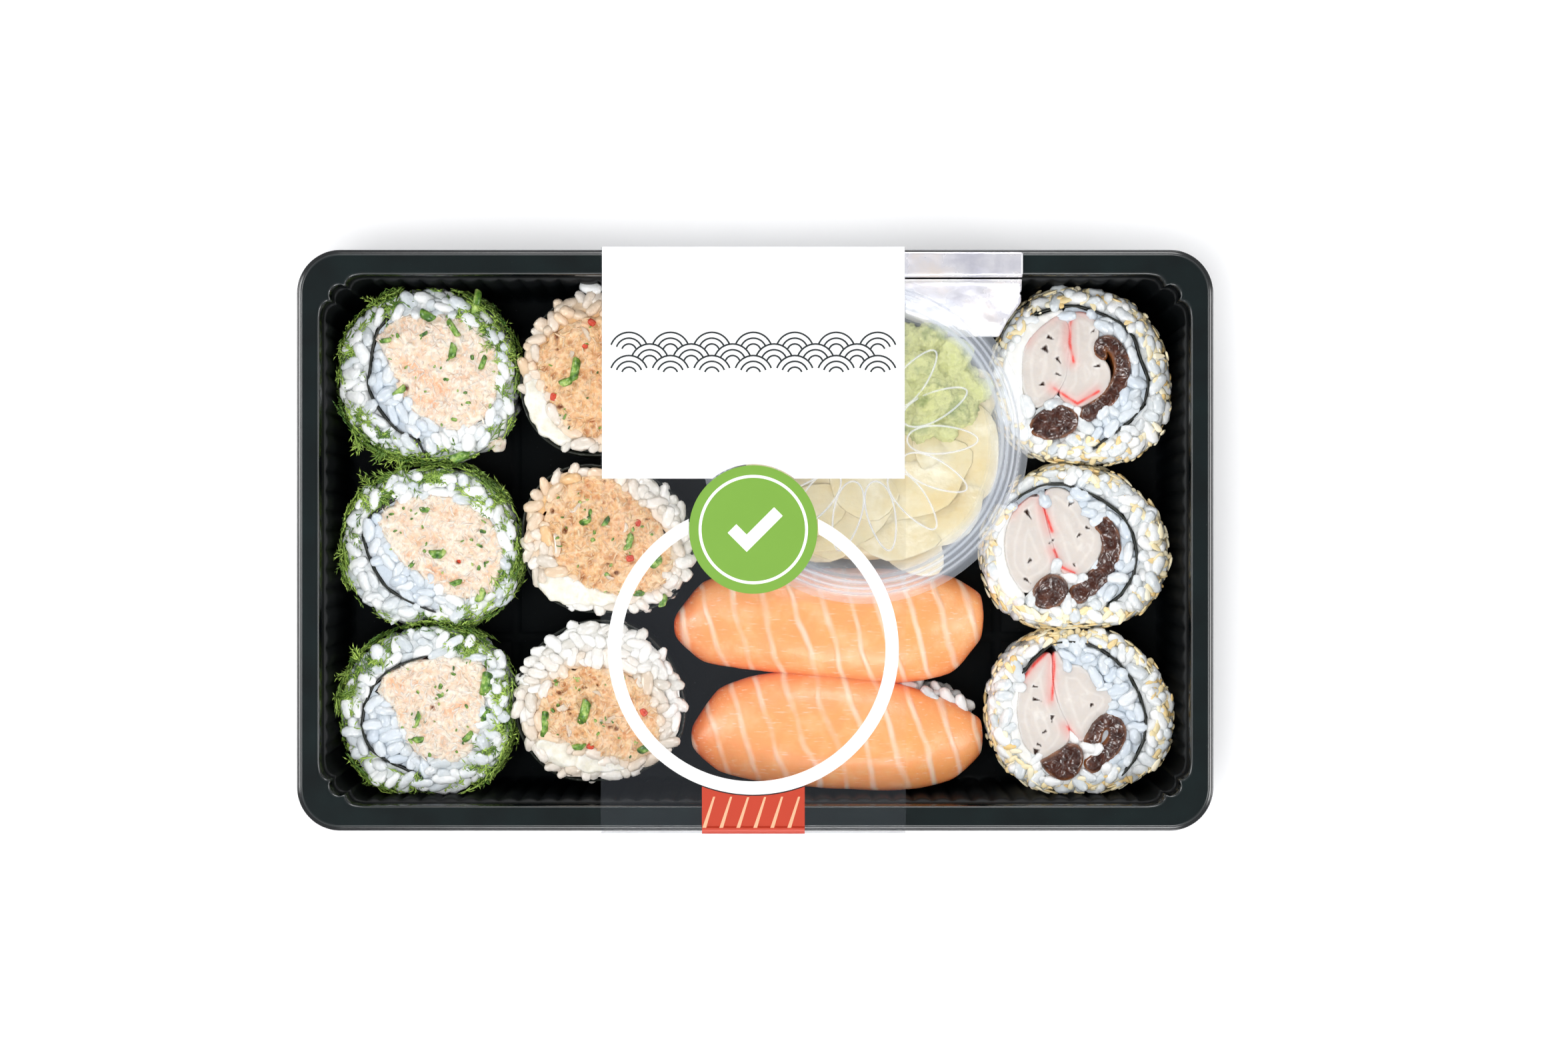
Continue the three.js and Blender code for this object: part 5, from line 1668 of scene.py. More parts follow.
class SUSHITRAY_OT_sachet(bpy.types.Operator):
    """Makes the flat sachet"""

    bl_idname = "sushi_tray.sachet"
    bl_label = "Sachet"

    def execute(self, context):
        piece = remeshed(node_copy("sachet", "sachet_pouch"), 0.4, 10, 0.6)
        right = box_of("sachet")[1].x
        places, normals = points_of(piece)
        seal = np.clip((places[:, 0] - (right - 7)) / 1.5, 0, 1)
        # Heat sealing leaves fine ridges along the end strip.
        ridge = 0.06 * seal * np.sin(TURN * places[:, 0] / 0.9)
        body = (1 - seal) * (0.5 * field(places[:, 0], places[:, 1], 7.0, 4) + 0.2 * field(places[:, 0],
                                                                                           places[:, 1],
                                                                                           2.6, 5))
        places[:, 2] += (ridge + 0.8 * body) * np.abs(normals[:, 2])
        foil = plain_food("Metallised polyester laminate")
        finish(set_points(piece, places), foil, "sachet", "sachet")
        return {"FINISHED"}


# ------------------------------------------------------------------------- chopped bits

# Chopped greens on the cut faces: x, y, length, width, turn in degrees.
GREENS = {
    "dill_roll_1": [(-68.2, 58.4, 4.7, 1.9, 80), (-80.3, 54.8, 2.6, 2.3, -30),
                    (-73.9, 51.8, 4.0, 1.5, -58),
                    (-73.9, 46.2, 2.8, 2.1, 78), (-90.3, 48.8, 2.4, 1.2, 8), (-87, 36.4, 2.6, 1.7, 40),
                    (-72.3, 20.4, 3.8, 2.3, 20), (-81, 50.3, 1.6, 0.9, 30),
                    (-66.6, 43.4, 2.8, 1.4, 70)],
    "dill_roll_2": [(-77.7, -3.5, 2.7, 2.4, 0), (-67.1, -13.5, 2.6, 1.9, 60),
                    (-73.1, -10.5, 2.2, 1.6, 20),
                    (-80.8, 7.4, 1.7, 1.4, 0), (-84, -6, 1.4, 1.0, 50)],
    "dill_roll_3": [(-65.8, -35, 4.1, 3.0, 80), (-66.1, -42.7, 2.8, 1.9, 60),
                    (-82.6, -44, 3.4, 1.6, 70),
                    (-82.6, -48.9, 2.2, 1.7, 0), (-70.2, -48.1, 2.2, 1.6, 45),
                    (-77, -38, 1.5, 1.1, 20)],
    "tuna_roll_1": [(-44, 41.7, 4.6, 2.1, 80), (-46.2, 38.6, 2.4, 1.9, 20), (-35, 49, 1.6, 1.2, 0)],
    "tuna_roll_2": [(-30.8, -0.4, 3.3, 2.1, 75), (-41.3, 4.7, 2.2, 1.7, 30), (-36.4, 4.5, 2.0, 1.5, 60),
                    (-24.1, -5.6, 2.6, 1.7, 40), (-28.7, -13, 2.2, 1.6, 0), (-22.5, -15, 2.4, 1.7, 70)],
    "tuna_roll_3": [(-51.5, -44.9, 5.2, 2.0, 85), (-41.7, -41.9, 4.9, 2.4, 75),
                    (-43.2, -50.6, 2.4, 1.9, 0),
                    (-26.9, -50.9, 2.6, 2.0, 30)],
}
# Bits of red pepper: x, y, size.
REDS = {
    "dill_roll_2": [(-72.3, -5.1, 1.3)],
    "tuna_roll_1": [(-49.4, 35, 1.7), (-40, 53.2, 1.8), (-41.7, 47.5, 1.4)],
    "tuna_roll_2": [(-30.6, -4.5, 1.7), (-28.7, 4.2, 1.5)],
    "tuna_roll_3": [(-40.4, -50.6, 1.6), (-27.4, -42.1, 1.9)],
}
# Pits in the pastes: x, y, half length, half width.
PITS = {
    "dill_roll_1": [(-87.8, 39, 1.0, 0.7), (-85.4, 37.3, 0.7, 0.9)],
    "dill_roll_2": [(-72.6, -5.4, 0.9, 0.7)],
    "dill_roll_3": [(-79, -41, 0.7, 0.9)],
    "tuna_roll_1": [(-47.8, 32.6, 1.4, 0.8), (-48.6, 49.9, 0.7, 1.7), (-36, 38, 1.0, 0.6)],
    "tuna_roll_2": [(-46.5, 2.5, 0.9, 1.3), (-47, -6.9, 1.2, 0.9), (-49.6, 7.1, 0.8, 1.0),
                    (-34, -8, 1.0, 0.7)],
    "tuna_roll_3": [(-49.9, -35.4, 1.0, 1.3), (-47.8, -37.4, 1.2, 0.7), (-34, -46, 1.1, 0.8)],
}
# Streaks of pinker fish: width, points.
WARM = {
    "dill_roll_1": [(1.5, [(-85.9, 43.7), (-81.5, 40.9), (-76.6, 36.9)]),
                    (1.3, [(-82.4, 34.8), (-78.6, 33.4)])],
    "dill_roll_2": [(1.3, [(-79.6, -6.5), (-76, -9.4), (-71.3, -10.2)])],
    "dill_roll_3": [(1.5, [(-89.2, -34.6), (-87.0, -36.0)]), (1.2, [(-75, -42), (-71, -40)])],
}
# Slivers of onion in the seasoned pastes: x, y, length, width, turn in degrees.
SLIVERS = {
    "tuna_roll_1": [(-41.2, 50.5, 4.2, 1.4, 120), (-45.0, 45.2, 3.2, 1.2, 60),
                    (-47.2, 30.2, 3.0, 1.1, 20)],
    "tuna_roll_2": [(-48.3, -1.2, 6.0, 1.7, 95), (-43.8, 7.6, 3.4, 1.2, 40),
                    (-36.0, -9.2, 3.0, 1.1, -30),
                    (-31.5, 3.0, 2.6, 1.0, 80)],
    "tuna_roll_3": [(-36.0, -44.2, 4.2, 1.5, 20), (-45.4, -46.6, 3.2, 1.2, 100),
                    (-38.6, -37.2, 3.0, 1.1, 150),
                    (-46.8, -41.0, 3.4, 1.8, 30)],
}
# Dill that stands off the rolls: x, y near the roll, degrees off the way out, scale.
STRAYS = {
    1: [(-93.5, 57.8, 20, 0.9), (-88.6, 63.5, -30, 0.8), (-100.6, 21, 30, 1.1), (-94, 18, -10, 1.15),
        (-88.3, 20, -50, 1.1), (-79.5, 66, 0, 0.8), (-97, 26, 60, 0.9)],
    2: [(-91.9, 18.1, 40, 1.2), (-96, 14.5, 0, 1.1), (-88, 20, -20, 1.2), (-102.2, -3.5, 0, 0.9),
        (-101.5, -5.5, 35, 0.8)],
    3: [(-103.8, -40.8, 10, 0.9), (-98.4, -27.7, -10, 1.0), (-97.3, -61.5, 20, 0.9),
        (-101.5, -33, 25, 0.9)],
}


def on_wall(tree, middle, x, y, z):
    """The place on a roll's wall that faces (x, y), and the way out there."""
    out = Vector((x - middle[0], y - middle[1], 0)).normalized()
    hit = tree.ray_cast(Vector((middle[0], middle[1], z)) + 60 * out, -out)
    return hit[0], out


def stray_fronds(roll, number, kinds, chance):
    """Places for the dill that stands off one roll."""
    tree, _ = shell(nodes_like(roll))
    middle = middle_of(roll + "_rice")
    darts = []
    for x, y, off, scale in STRAYS[number]:
        place, out = on_wall(tree, middle, x, y, 22)
        angle = math.atan2(out.y, out.x) + math.radians(off)
        for _ in range(2):
            z = chance.uniform(20.5, 24)
            darts.append((
                Vector((place.x + 1.6 * out.x, place.y + 1.6 * out.y, z)),
                (chance.uniform(-0.4, 0.4), chance.uniform(-0.3, 0.2),
                 angle + chance.uniform(-0.3, 0.3)),
                [scale] * 3, chance.randrange(kinds),
            ))
    return darts


def small_pits(name):
    """Pits strewn over a filling."""
    low, high = box_of(name + "_filling")
    chance = random.Random(ord(name[-1]))
    return [
        (chance.uniform(low.x, high.x), chance.uniform(low.y, high.y), chance.uniform(0.3, 1.0),
         chance.uniform(0.25, 0.5))
        for _ in range(7)
    ]


def chive(length, width):
    """A cut piece of chive: a flattened hollow ring of leaf."""
    sides, wall = 10, 0.28
    rings = []
    for shrink in (0.0, wall):
        for x in (-length / 2, 0, length / 2):
            ring = []
            for k in range(sides):
                angle = TURN * k / sides
                bow_up = 0.12 * (1 - (2 * x / length) ** 2)
                slant = 0.35 * width * math.sin(angle + 0.6) * (2 * x / length)
                ring.append((x + slant, (width / 2 - shrink) * math.cos(angle),
                             (0.3 * width - shrink * 0.7) * math.sin(angle) + bow_up))
            rings.append(ring)
    return loft(rings[:3] + rings[:2:-1], loop=True)


def on_paste(name, tree, chance):
    """A chance place on a paste's upper face and the normal there, or None."""
    low, high = box_of(name + "_filling")
    hit = below(tree, chance.uniform(low.x, high.x), chance.uniform(low.y, high.y))
    return None if hit[0] is None or hit[0].z < high.z - 1.5 else hit[:2]


def flakes_on(name, tree, material, slot, count):
    """Torn flakes of fish all over one paste, half sunk in it."""
    chance = random.Random(ord(name[-1]) + 20 * len(name))

    def propose(chance):
        found = on_paste(name, tree, chance)
        if found is None:
            return None
        lean = Vector((chance.gauss(0, 0.2), chance.gauss(0, 0.2), 0))
        return found[0] + 0.06 * DOWN, (found[1] + lean).normalized(), chance.uniform(0, 6.28)

    darts = dress(throw(chance, 4 * count, 0.9, propose)[:count], chance, 6, 0.6, 1.2)
    flakes = [
        bean(chance.uniform(1.6, 3.4), chance.uniform(0.5, 0.9), chance.uniform(0.35, 0.5),
             bend=chance.uniform(-0.5, 0.5), point=chance.uniform(0.2, 0.7), blunt=0.9, rings=5,
             sides=6,
             uneven=0.3, phase=chance.uniform(0, 6))
        for _ in range(6)
    ]
    marks = [
        (key, [most * chance.random() ** power for _ in darts])
        for key, most, power in (("pale", 1, 1), ("hollow", 0.35, 3), ("warm", 0.5, 4))
    ]
    finish(scattered(name + "_flakes", darts, flakes, material, 7, marks), None, slot)


def specks_on(name, tree, count=26):
    """Small chopped greens strewn over one paste."""
    chance = random.Random(ord(name[-1]) + 5 * len(name))
    darts = []
    while len(darts) < count:
        found = on_paste(name, tree, chance)
        if found:
            up = (found[1] + Vector((chance.gauss(0, 0.4), chance.gauss(0, 0.4), 0))).normalized()
            darts.append((found[0] + 0.15 * UP, up, chance.uniform(0, 6.28)))
    specks = [bean(size, 0.6 * size, 0.3, blunt=0.4, rings=4, sides=5, uneven=0.2) for size in (0.8,
                                                                                                1.2,
                                                                                                1.7)]
    piece = scattered(name + "_specks", dress(darts, chance, 3), specks, plain_food("Chopped chive"), 6)
    finish(piece, None, "rice")


def bits_on(name, tree):
    """The chopped greens, onion and red pepper that lie on one roll's cut face."""
    greens, slivers, reds = [], [], []
    chance = random.Random(len(name) * 7 + ord(name[-1]))
    for x, y, length, width, turn in GREENS.get(name, ()):
        lean = (chance.uniform(-0.6, 0.6), chance.uniform(-0.3, 0.3), math.radians(turn))
        greens.append(placed(chive(length, width), (x, y, top_of(tree, x, y) + 0.12 * width), lean))
    for x, y, length, width, turn in SLIVERS.get(name, ()):
        sliver = bean(length, width, 0.6, bend=0.5, blunt=0.6, rings=8, uneven=0.1)
        lean = (chance.uniform(-0.35, 0.35), chance.uniform(-0.1, 0.1), math.radians(turn))
        slivers.append(placed(sliver, (x, y, top_of(tree, x, y) + 0.1), lean))
    for x, y, size in REDS.get(name, ()):
        dice = bean(size * 1.2, size, size * 0.7, blunt=0.4, rings=5, sides=7)
        lean = (chance.uniform(-0.3, 0.3), 0.2, chance.uniform(0, 6))
        reds.append(placed(dice, (x, y, top_of(tree, x, y) + 0.1), lean))
    for parts, ending, material, slot in (
        (greens, "_chives", "Chopped chive", "rice"), (slivers, "_onion", "Dressed onion", "tuna_fish"),
        (reds, "_pepper", "Red pepper", "tuna_fish"),
    ):
        if parts:
            finish(mesh_piece(name + ending, joined(*parts), mend=True), plain_food(material), slot)


def strewn(name, paste, material, slot, flakes):
    """Flakes and chopped bits on one roll's paste."""
    skin = piece_tree(paste)
    flakes_on(name, skin, material, slot, flakes)
    specks_on(name, skin)
    bits_on(name, skin)


def frond(chance, long):
    """A sprig of dill: a thin stem with forked threads of leaf to both sides."""
    parts = [spike((-long / 2, 0, 0), (long / 2, chance.uniform(-0.8, 0.8), 0.2), 0.24)]
    pairs = 9
    for k in range(pairs):
        share = k / (pairs - 1)
        x = long * (-0.4 + 0.8 * share)
        side = 1 if k % 2 else -1
        reach = chance.uniform(2.0, 3.4) * (1.1 - 0.55 * share)
        lean = chance.uniform(0.35, 0.8)
        rise = chance.uniform(-0.4, 0.7)
        tip = (x + reach * math.cos(lean), side * reach * math.sin(lean), rise)
        parts.append(spike((x, 0, 0), tip, 0.19))
        if k < 6:
            fork = lean + chance.choice((-0.6, 0.6))
            half = (x + 0.45 * (tip[0] - x), 0.45 * tip[1], 0.45 * rise)
            end = (half[0] + 0.5 * reach * math.cos(fork),
                   half[1] + side * 0.5 * reach * math.sin(fork),
                   half[2] + chance.uniform(-0.2, 0.4))
            parts.append(spike(half, end, 0.17))
    return joined(*parts)


def tuft(chance):
    """A chopped bit of dill leaf."""
    parts = [bean(chance.uniform(1.8, 3.0), chance.uniform(0.7, 1.1), 0.3,
                  bend=chance.uniform(-0.3, 0.3),
                  point=0.5, rings=4, sides=5)]
    for _ in range(6):
        angle, reach = chance.uniform(0, 6.28), chance.uniform(1.0, 2.1)
        start = (chance.uniform(-0.9, 0.9), chance.uniform(-0.4, 0.4), 0)
        parts.append(spike(start, (start[0] + reach * math.cos(angle),
                                   start[1] + reach * math.sin(angle),
                                   chance.uniform(-0.2, 0.5)), 0.24))
    return joined(*parts)


# Where the coats lie thickest on each roll: degrees from +X, spread, and how far in on the
# cut face they reach, as a share of the roll's radius.
DILL_THICK = {
    1: [(20, 22, 0.68), (55, 10, 0.8), (175, 24, 0.93), (225, 18, 0.88), (262, 14, 0.95),
        (118, 9, 0.9)],
    2: [(132, 20, 0.78), (85, 20, 0.88), (42, 14, 0.8), (185, 12, 0.96), (292, 24, 0.9),
        (350, 14, 0.93)],
    3: [(132, 14, 0.86), (170, 18, 0.92), (322, 18, 0.74), (0, 20, 0.9), (60, 9, 0.86),
        (245, 20, 0.95)],
}
SESAME_THICK = {
    1: [(350, 45, 0.84), (285, 25, 0.8), (110, 30, 0.86), (30, 25, 0.84)],
    2: [(330, 45, 0.84), (20, 30, 0.85), (265, 25, 0.86), (80, 25, 0.87)],
    3: [(300, 45, 0.84), (0, 35, 0.85), (230, 25, 0.87), (100, 25, 0.88)],
}


def thick_direction(spots, share):
    """Picks a direction from a roll's middle, and how far in on the cut face it may lie."""

    def pick(chance):
        if chance.random() < share:
            angle, spread, inner = chance.choice(spots)
            return math.radians(chance.gauss(angle, spread * 0.7)), inner
        return chance.uniform(0, TURN), 0.93

    return pick


def coat_darts(roll, spots, count, gap, share, on_top, drop, chance, low=2.4):
    """Places for what a roll is rolled in: mostly on its wall, some on the cut face's rim."""
    rice = roll + "_rice"
    tree, owners = shell(nodes_like(roll))
    middle = middle_of(rice)
    pick = thick_direction(spots, share)
    wall = side_darts(tree, owners, rice, middle, low, 24.8, drop, lambda chance: pick(chance)[0])

    def rim(chance):
        angle, inner = pick(chance)
        out = Vector((math.cos(angle), math.sin(angle), 0))
        edge = tree.ray_cast(Vector((middle[0], middle[1], 22)) + 60 * out, -out)
        if edge[0] is None:
            return None
        reach = Vector((edge[0].x - middle[0], edge[0].y - middle[1])).length * chance.uniform(inner,
                                                                                               1.02)
        hit = below(tree, middle[0] + reach * out.x, middle[1] + reach * out.y)
        if hit[0] is None or owners[hit[2]] != rice or hit[0].z < 15:
            return None
        lean = (UP + 0.45 * out).normalized()
        return hit[0] + 0.45 * UP, lean, chance.uniform(0, TURN)

    darts = throw(chance, 9 * count, gap, wall)[: round(count * (1 - on_top))]
    darts += throw(chance, 9 * count, gap * 0.7, rim)[: round(count * on_top)]
    return darts


def dress(darts, chance, kinds, low=0.8, high=1.15):
    """Gives each place a size and one of the shapes."""
    return [
        (place, turn_on(normal, spin), [chance.uniform(low, high)] * 3, chance.randrange(kinds))
        for place, normal, spin in darts
    ]


def nodes_like(start):
    """The solids whose names start so, in order."""
    return [name for name in sorted(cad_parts) if name.startswith(start)]


class SUSHITRAY_OT_dill_rolls(bpy.types.Operator):
    """Makes the three rolls with dill outside"""

    bl_idname = "sushi_tray.dill_rolls"
    bl_label = "Dill rolls"

    def execute(self, context):
        scene = context.scene
        rice, coat, fish = scene.sushi_tray_rice, scene.sushi_tray_coat, scene.sushi_tray_fish
        grains = boiled_rice(rice)
        # Flaked fish paste is cream pink and moist, with paler torn threads; its crests are painted paler as
        # light, its hollows and pits darker as painted shade.
        paste = food(
            "Flaked white fish paste", [(0.33, "#F2D2B2"), (0.5, fish.paste), (0.65, "#F7EAD8")],
            patch=2.1, bumps=((0.6, 0.12), (0.25, 0.08)), roughness=(0.3, 0.5), soak=0.4,
            soak_mm=(2.2, 1.5, 1.1),
            fibres=(1.5, "#FCF1E6"),
            marks=(("hollow", "#EBC39E"), ("pale", "#FAEDDC"), ("warm", "#F2BC92"),
                   ("deep", "#9A5B3C")),
        )
        # Dill is matt and feathery; each copy and patch takes a random tone between a painted shaded green
        # and a painted lit green.
        herb = food(
            "Fresh dill", [(0.1, coat.deep), (0.5, mixed(coat.deep, coat.bright, 0.5)),
                           (0.9, coat.bright)], patch=3,
            bumps=((0.5, 0.05),), roughness=(0.35, 0.5), shade=0.75,
        )
        chance = random.Random(30)
        fronds = [frond(chance, length) for length in (8.5, 6.5, 9.5, 5.5)]
        tufts = [tuft(chance) for _ in range(5)]
        for number in (1, 2, 3):
            name = f"dill_roll_{number}"
            rice_piece(name, grains, rice, 100 + number, ("filling",),
                       behind_sheet(name + "_nori", middle_of(name + "_filling")))
            filling = food_block(
                name + "_paste", name + "_filling",
                flaky(60 + number, 1.0, PITS[name], WARM[name]), paste, "pale_fish", top=0.5, cell=0.36,
                grow=0.5, ragged=0.6, seed=number,
            )
            seaweed_sheet(name, number)
            strewn(name, filling, paste, "pale_fish", 330)
            for label, shapes, count, gap, share, on_top, drop in (
                ("fronds", fronds, coat.fronds, 0.7, 0.8, 0.35, -2.0),
                ("flecks", tufts, coat.flecks, 0.5, 0.75, 0.4, -1.6),
            ):
                darts = coat_darts(name, DILL_THICK[number], count, gap, share, on_top, drop, chance,
                                   low=12.5)
                darts = dress(darts, chance, len(shapes))
                if shapes is fronds:
                    darts += stray_fronds(name, number, len(shapes), chance)
                piece = scattered(f"{name}_{label}", darts, shapes, herb, 200 + number)
                finish(keep_inside(piece), None, "rice")
        self.loose_bits(grains, rice, paste)
        return {"FINISHED"}

    def loose_bits(self, grains, rice, paste):
        """A scrap of fish and single grains that cling to the rolls' walls."""
        darts, scraps = [], []
        for roll, x, y, z, kind in (
            ("dill_roll_1", -62.5, 22.1, 20, "scrap"), ("dill_roll_2", -56.8, -14.1, 22.5, "grain"),
            ("dill_roll_2", -59.0, -16.5, 21, "grain"), ("tuna_roll_1", -40.6, 62.5, 23, "grain"),
            ("dill_roll_3", -61, -28, 22, "grain"), ("nigiri_1", -7, -27, 12, "grain"),
        ):
            place, out = on_wall(shell(nodes_like(roll))[0], middle_of(roll + "_rice"), x, y, z)
            angle = math.atan2(out.y, out.x)
            if kind == "grain":
                darts.append((place + 0.9 * out, (0.2, 0.3, angle + 1.2), [1.05] * 3, len(darts)))
            else:
                for shift, size in ((1.4, 5.2), (2.6, 3.6)):
                    lump = bean(size, 0.7 * size, 0.45 * size, bend=0.4, blunt=0.5, rings=9, sides=10,
                                uneven=0.2)
                    scraps.append(placed(lump, place + shift * out, (0.2, 0.15, angle + 0.5 * shift)))
        finish(scattered("loose_grains", darts, grain_shapes(rice), grains, 9), None, "rice")
        finish(mesh_piece("loose_scrap", joined(*scraps), mend=True), paste, "pale_fish")


# The side of each roll that its dressing ran to: degrees from +X, and how strong it is.
STAINED = {1: (150, 0.6), 2: (150, 0.65), 3: (215, 0.3)}


class SUSHITRAY_OT_tuna_rolls(bpy.types.Operator):
    """Makes the three rolls with seaweed outside"""

    bl_idname = "sushi_tray.tuna_rolls"
    bl_label = "Seaweed rolls"

    def execute(self, context):
        scene = context.scene
        rice, fish = scene.sushi_tray_rice, scene.sushi_tray_fish
        grains = boiled_rice(rice, "Boiled rice, stained", "#D8D6CF", "#F5F6F5", "#EBC08A")
        # Seasoned paste is orange tan and oily: its crests are glossy and painted paler as light, its
        # hollows and pits painted darker as shade.
        paste = food(
            "Seasoned tuna paste", [(0.3, mixed(fish.tuna, "#C98850", 0.6)), (0.5, fish.tuna),
                                    (0.7, "#F7D7B0")],
            patch=2.0, bumps=((0.7, 0.16), (0.25, 0.1)), roughness=(0.26, 0.5), soak=0.35,
            soak_mm=(2.2, 1.3, 0.8),
            fibres=(1.6, "#F8D9B4"),
            marks=(("hollow", "#B9733F"), ("pale", "#F6D3AE"), ("warm", "#E08A52"),
                   ("deep", "#8A4A28")),
        )
        cream = plain_food("Whipped cheese")
        for number in (1, 2, 3):
            name = f"tuna_roll_{number}"
            rice_piece(name, grains, rice, 120 + number, ("filling", "cream"),
                       near_filling(name + "_filling", 2.2, *STAINED[number]), side=None)
            filling = food_block(
                name + "_paste", name + "_filling",
                flaky(70 + number, 1.4, PITS[name] + small_pits(name), WARM.get(name, ())),
                paste, "tuna_fish", top=0.5, cell=0.36, grow=0.5, ragged=0.8, seed=number,
            )
            food_block(name + "_smear", name + "_cream", smeared(number, 1.3), cream, "cream", top=0.35,
                       grow=0.8, ragged=0.8)
            food_block(name + "_wrap", name + "_nori_wrap", crumpled(20 + number),
                       plain_food("Roasted seaweed"),
                       "nori", top=-0.9, edge=0.3, wobble=0.3, seed=number, passes=2)
            strewn(name, filling, paste, "tuna_fish", 380)
        return {"FINISHED"}


# Red skins, pits and gaps of the crab sticks, from left stick to right stick.
STICK_RED = {
    1: [(0.55, [(78.2, 57.3), (77.0, 52.4), (76.9, 48.3), (77.9, 43.6)]),
        (0.7, [(66.4, 49.0), (68.2, 52.4), (71, 54.6), (74.2, 55.6)]),
        (0.5, [(78.8, 56.4), (83.3, 55.6)]),
        (0.5, [(73.1, 37.2), (75.9, 35.3), (78.8, 33.4), (84.0, 36.4)])],
    2: [(0.55, [(69.9, 14.0), (70.7, 7.4), (72.6, 2.2)]),
        (0.5, [(73.1, -2.4), (74.8, -6.5), (78.0, -8.1)]),
        (0.6, [(62.6, 6.8), (66, 10.6), (69.6, 12.8)])],
    3: [(0.5, [(72.8, -26.1), (73.1, -31.0), (72.6, -39.1)]), (0.55, [(76.4, -45.7), (79.3, -50.2)]),
        (0.6, [(65.8, -33.6), (68.6, -30.0), (71.8, -27.0)])],
}
STICK_PITS = {
    1: [(72.0, 49.6), (75.1, 54.3), (82.6, 51.1), (71.0, 46.8), (74.1, 44.2), (74.1, 40.6),
        (83.7, 42.6), (70.3, 38.2)],
    2: [(66.6, 6.6), (68.4, 11.0), (81.3, 3.0), (79.3, 1.2), (77.2, 9.1), (67.1, -5.1), (78.0, -6.1),
        (66.3, -9.7),
        (72.6, -0.2)],
    3: [(68.5, -35.9), (68.7, -39.1), (82.3, -40.4), (72.6, -43.5), (70.7, -47.0), (69.4, -50.1),
        (68.7, -51.9)],
}


class SUSHITRAY_OT_sesame_rolls(bpy.types.Operator):
    """Makes the three rolls with sesame outside"""

    bl_idname = "sushi_tray.sesame_rolls"
    bl_label = "Sesame rolls"

    def execute(self, context):
        scene = context.scene
        rice, coat, fish = scene.sushi_tray_rice, scene.sushi_tray_coat, scene.sushi_tray_fish
        grains = boiled_rice(rice, "Boiled rice, plump", "#D6DCDF", "#F8F9F8")
        # Crab stick is smooth and faintly see-through white, with a red-dyed skin; the gaps between its
        # leaves are painted near black as shade.
        stick = food(
            "Crab stick", [(0.3, scaled(fish.surimi, 0.95)), (0.6, fish.surimi), (0.8, "#F0ECE6")],
            patch=5,
            bumps=((0.9, 0.08),), roughness=(0.25, 0.4), soak=0.5, soak_mm=(2.6, 2.2, 1.8), coat=0.1,
            marks=(("pale", "#F4F0EA"), ("red", "#F1544C"), ("deep", "#3B1F15")),
        )
        gourd = plain_food("Braised gourd")
        # Toasted sesame is dry and pale gold, no two seeds of one tone.
        toast = food(
            "Toasted sesame", [(0.1, "#EDC983"), (0.4, coat.sesame), (0.9, "#FDF5DC")], patch=2,
            bumps=((0.6, 0.05),), roughness=(0.3, 0.45), soak=0.1, soak_mm=(0.5, 0.4, 0.3), shade=0.8,
        )
        cheese = plain_food("Cream cheese")
        chance = random.Random(44)
        seeds = [bean(3.5 * s, 2.1 * s, 0.95 * s, point=0.55, blunt=0.8, rings=6,
                      sides=8) for s in (0.92, 1.0, 1.08)]
        for number in (1, 2, 3):
            name = f"sesame_roll_{number}"
            rice_piece(name, grains, rice, 140 + number, ("surimi", "kanpyo", "cream"),
                       behind_sheet(name + "_nori", middle_of(name + "_surimi_right")))
            cracks = [crack(x, y, chance) for x, y in STICK_PITS[number]]
            for part in ("surimi_left", "surimi_right"):
                food_block(f"{name}_{part}_stick", f"{name}_{part}",
                           layered(number + 5, STICK_RED[number], cracks), stick,
                           "surimi", top=0.35, cell=0.34, edge=0.6, grow=0.45)
            for part in ("kanpyo_strip", "kanpyo_fold"):
                food_block(f"{name}_{part}_braised", f"{name}_{part}", wrinkled(number + 9), gourd,
                           "kanpyo", top=0.9,
                           cell=0.3, edge=0.7, grow=0.85)
            food_block(name + "_cheese", name + "_cream_cheese", smeared(number + 3), cheese, "cream",
                       top=0.35, grow=0.5)
            seaweed_sheet(name, number + 4)
            darts = coat_darts(name, SESAME_THICK[number], coat.seeds, 1.5, 0.35, 0.45, -1.2, chance)
            piece = scattered(name + "_seeds", dress(darts, chance, 3), seeds, toast, 300 + number)
            finish(piece, None, "rice")
        return {"FINISHED"}


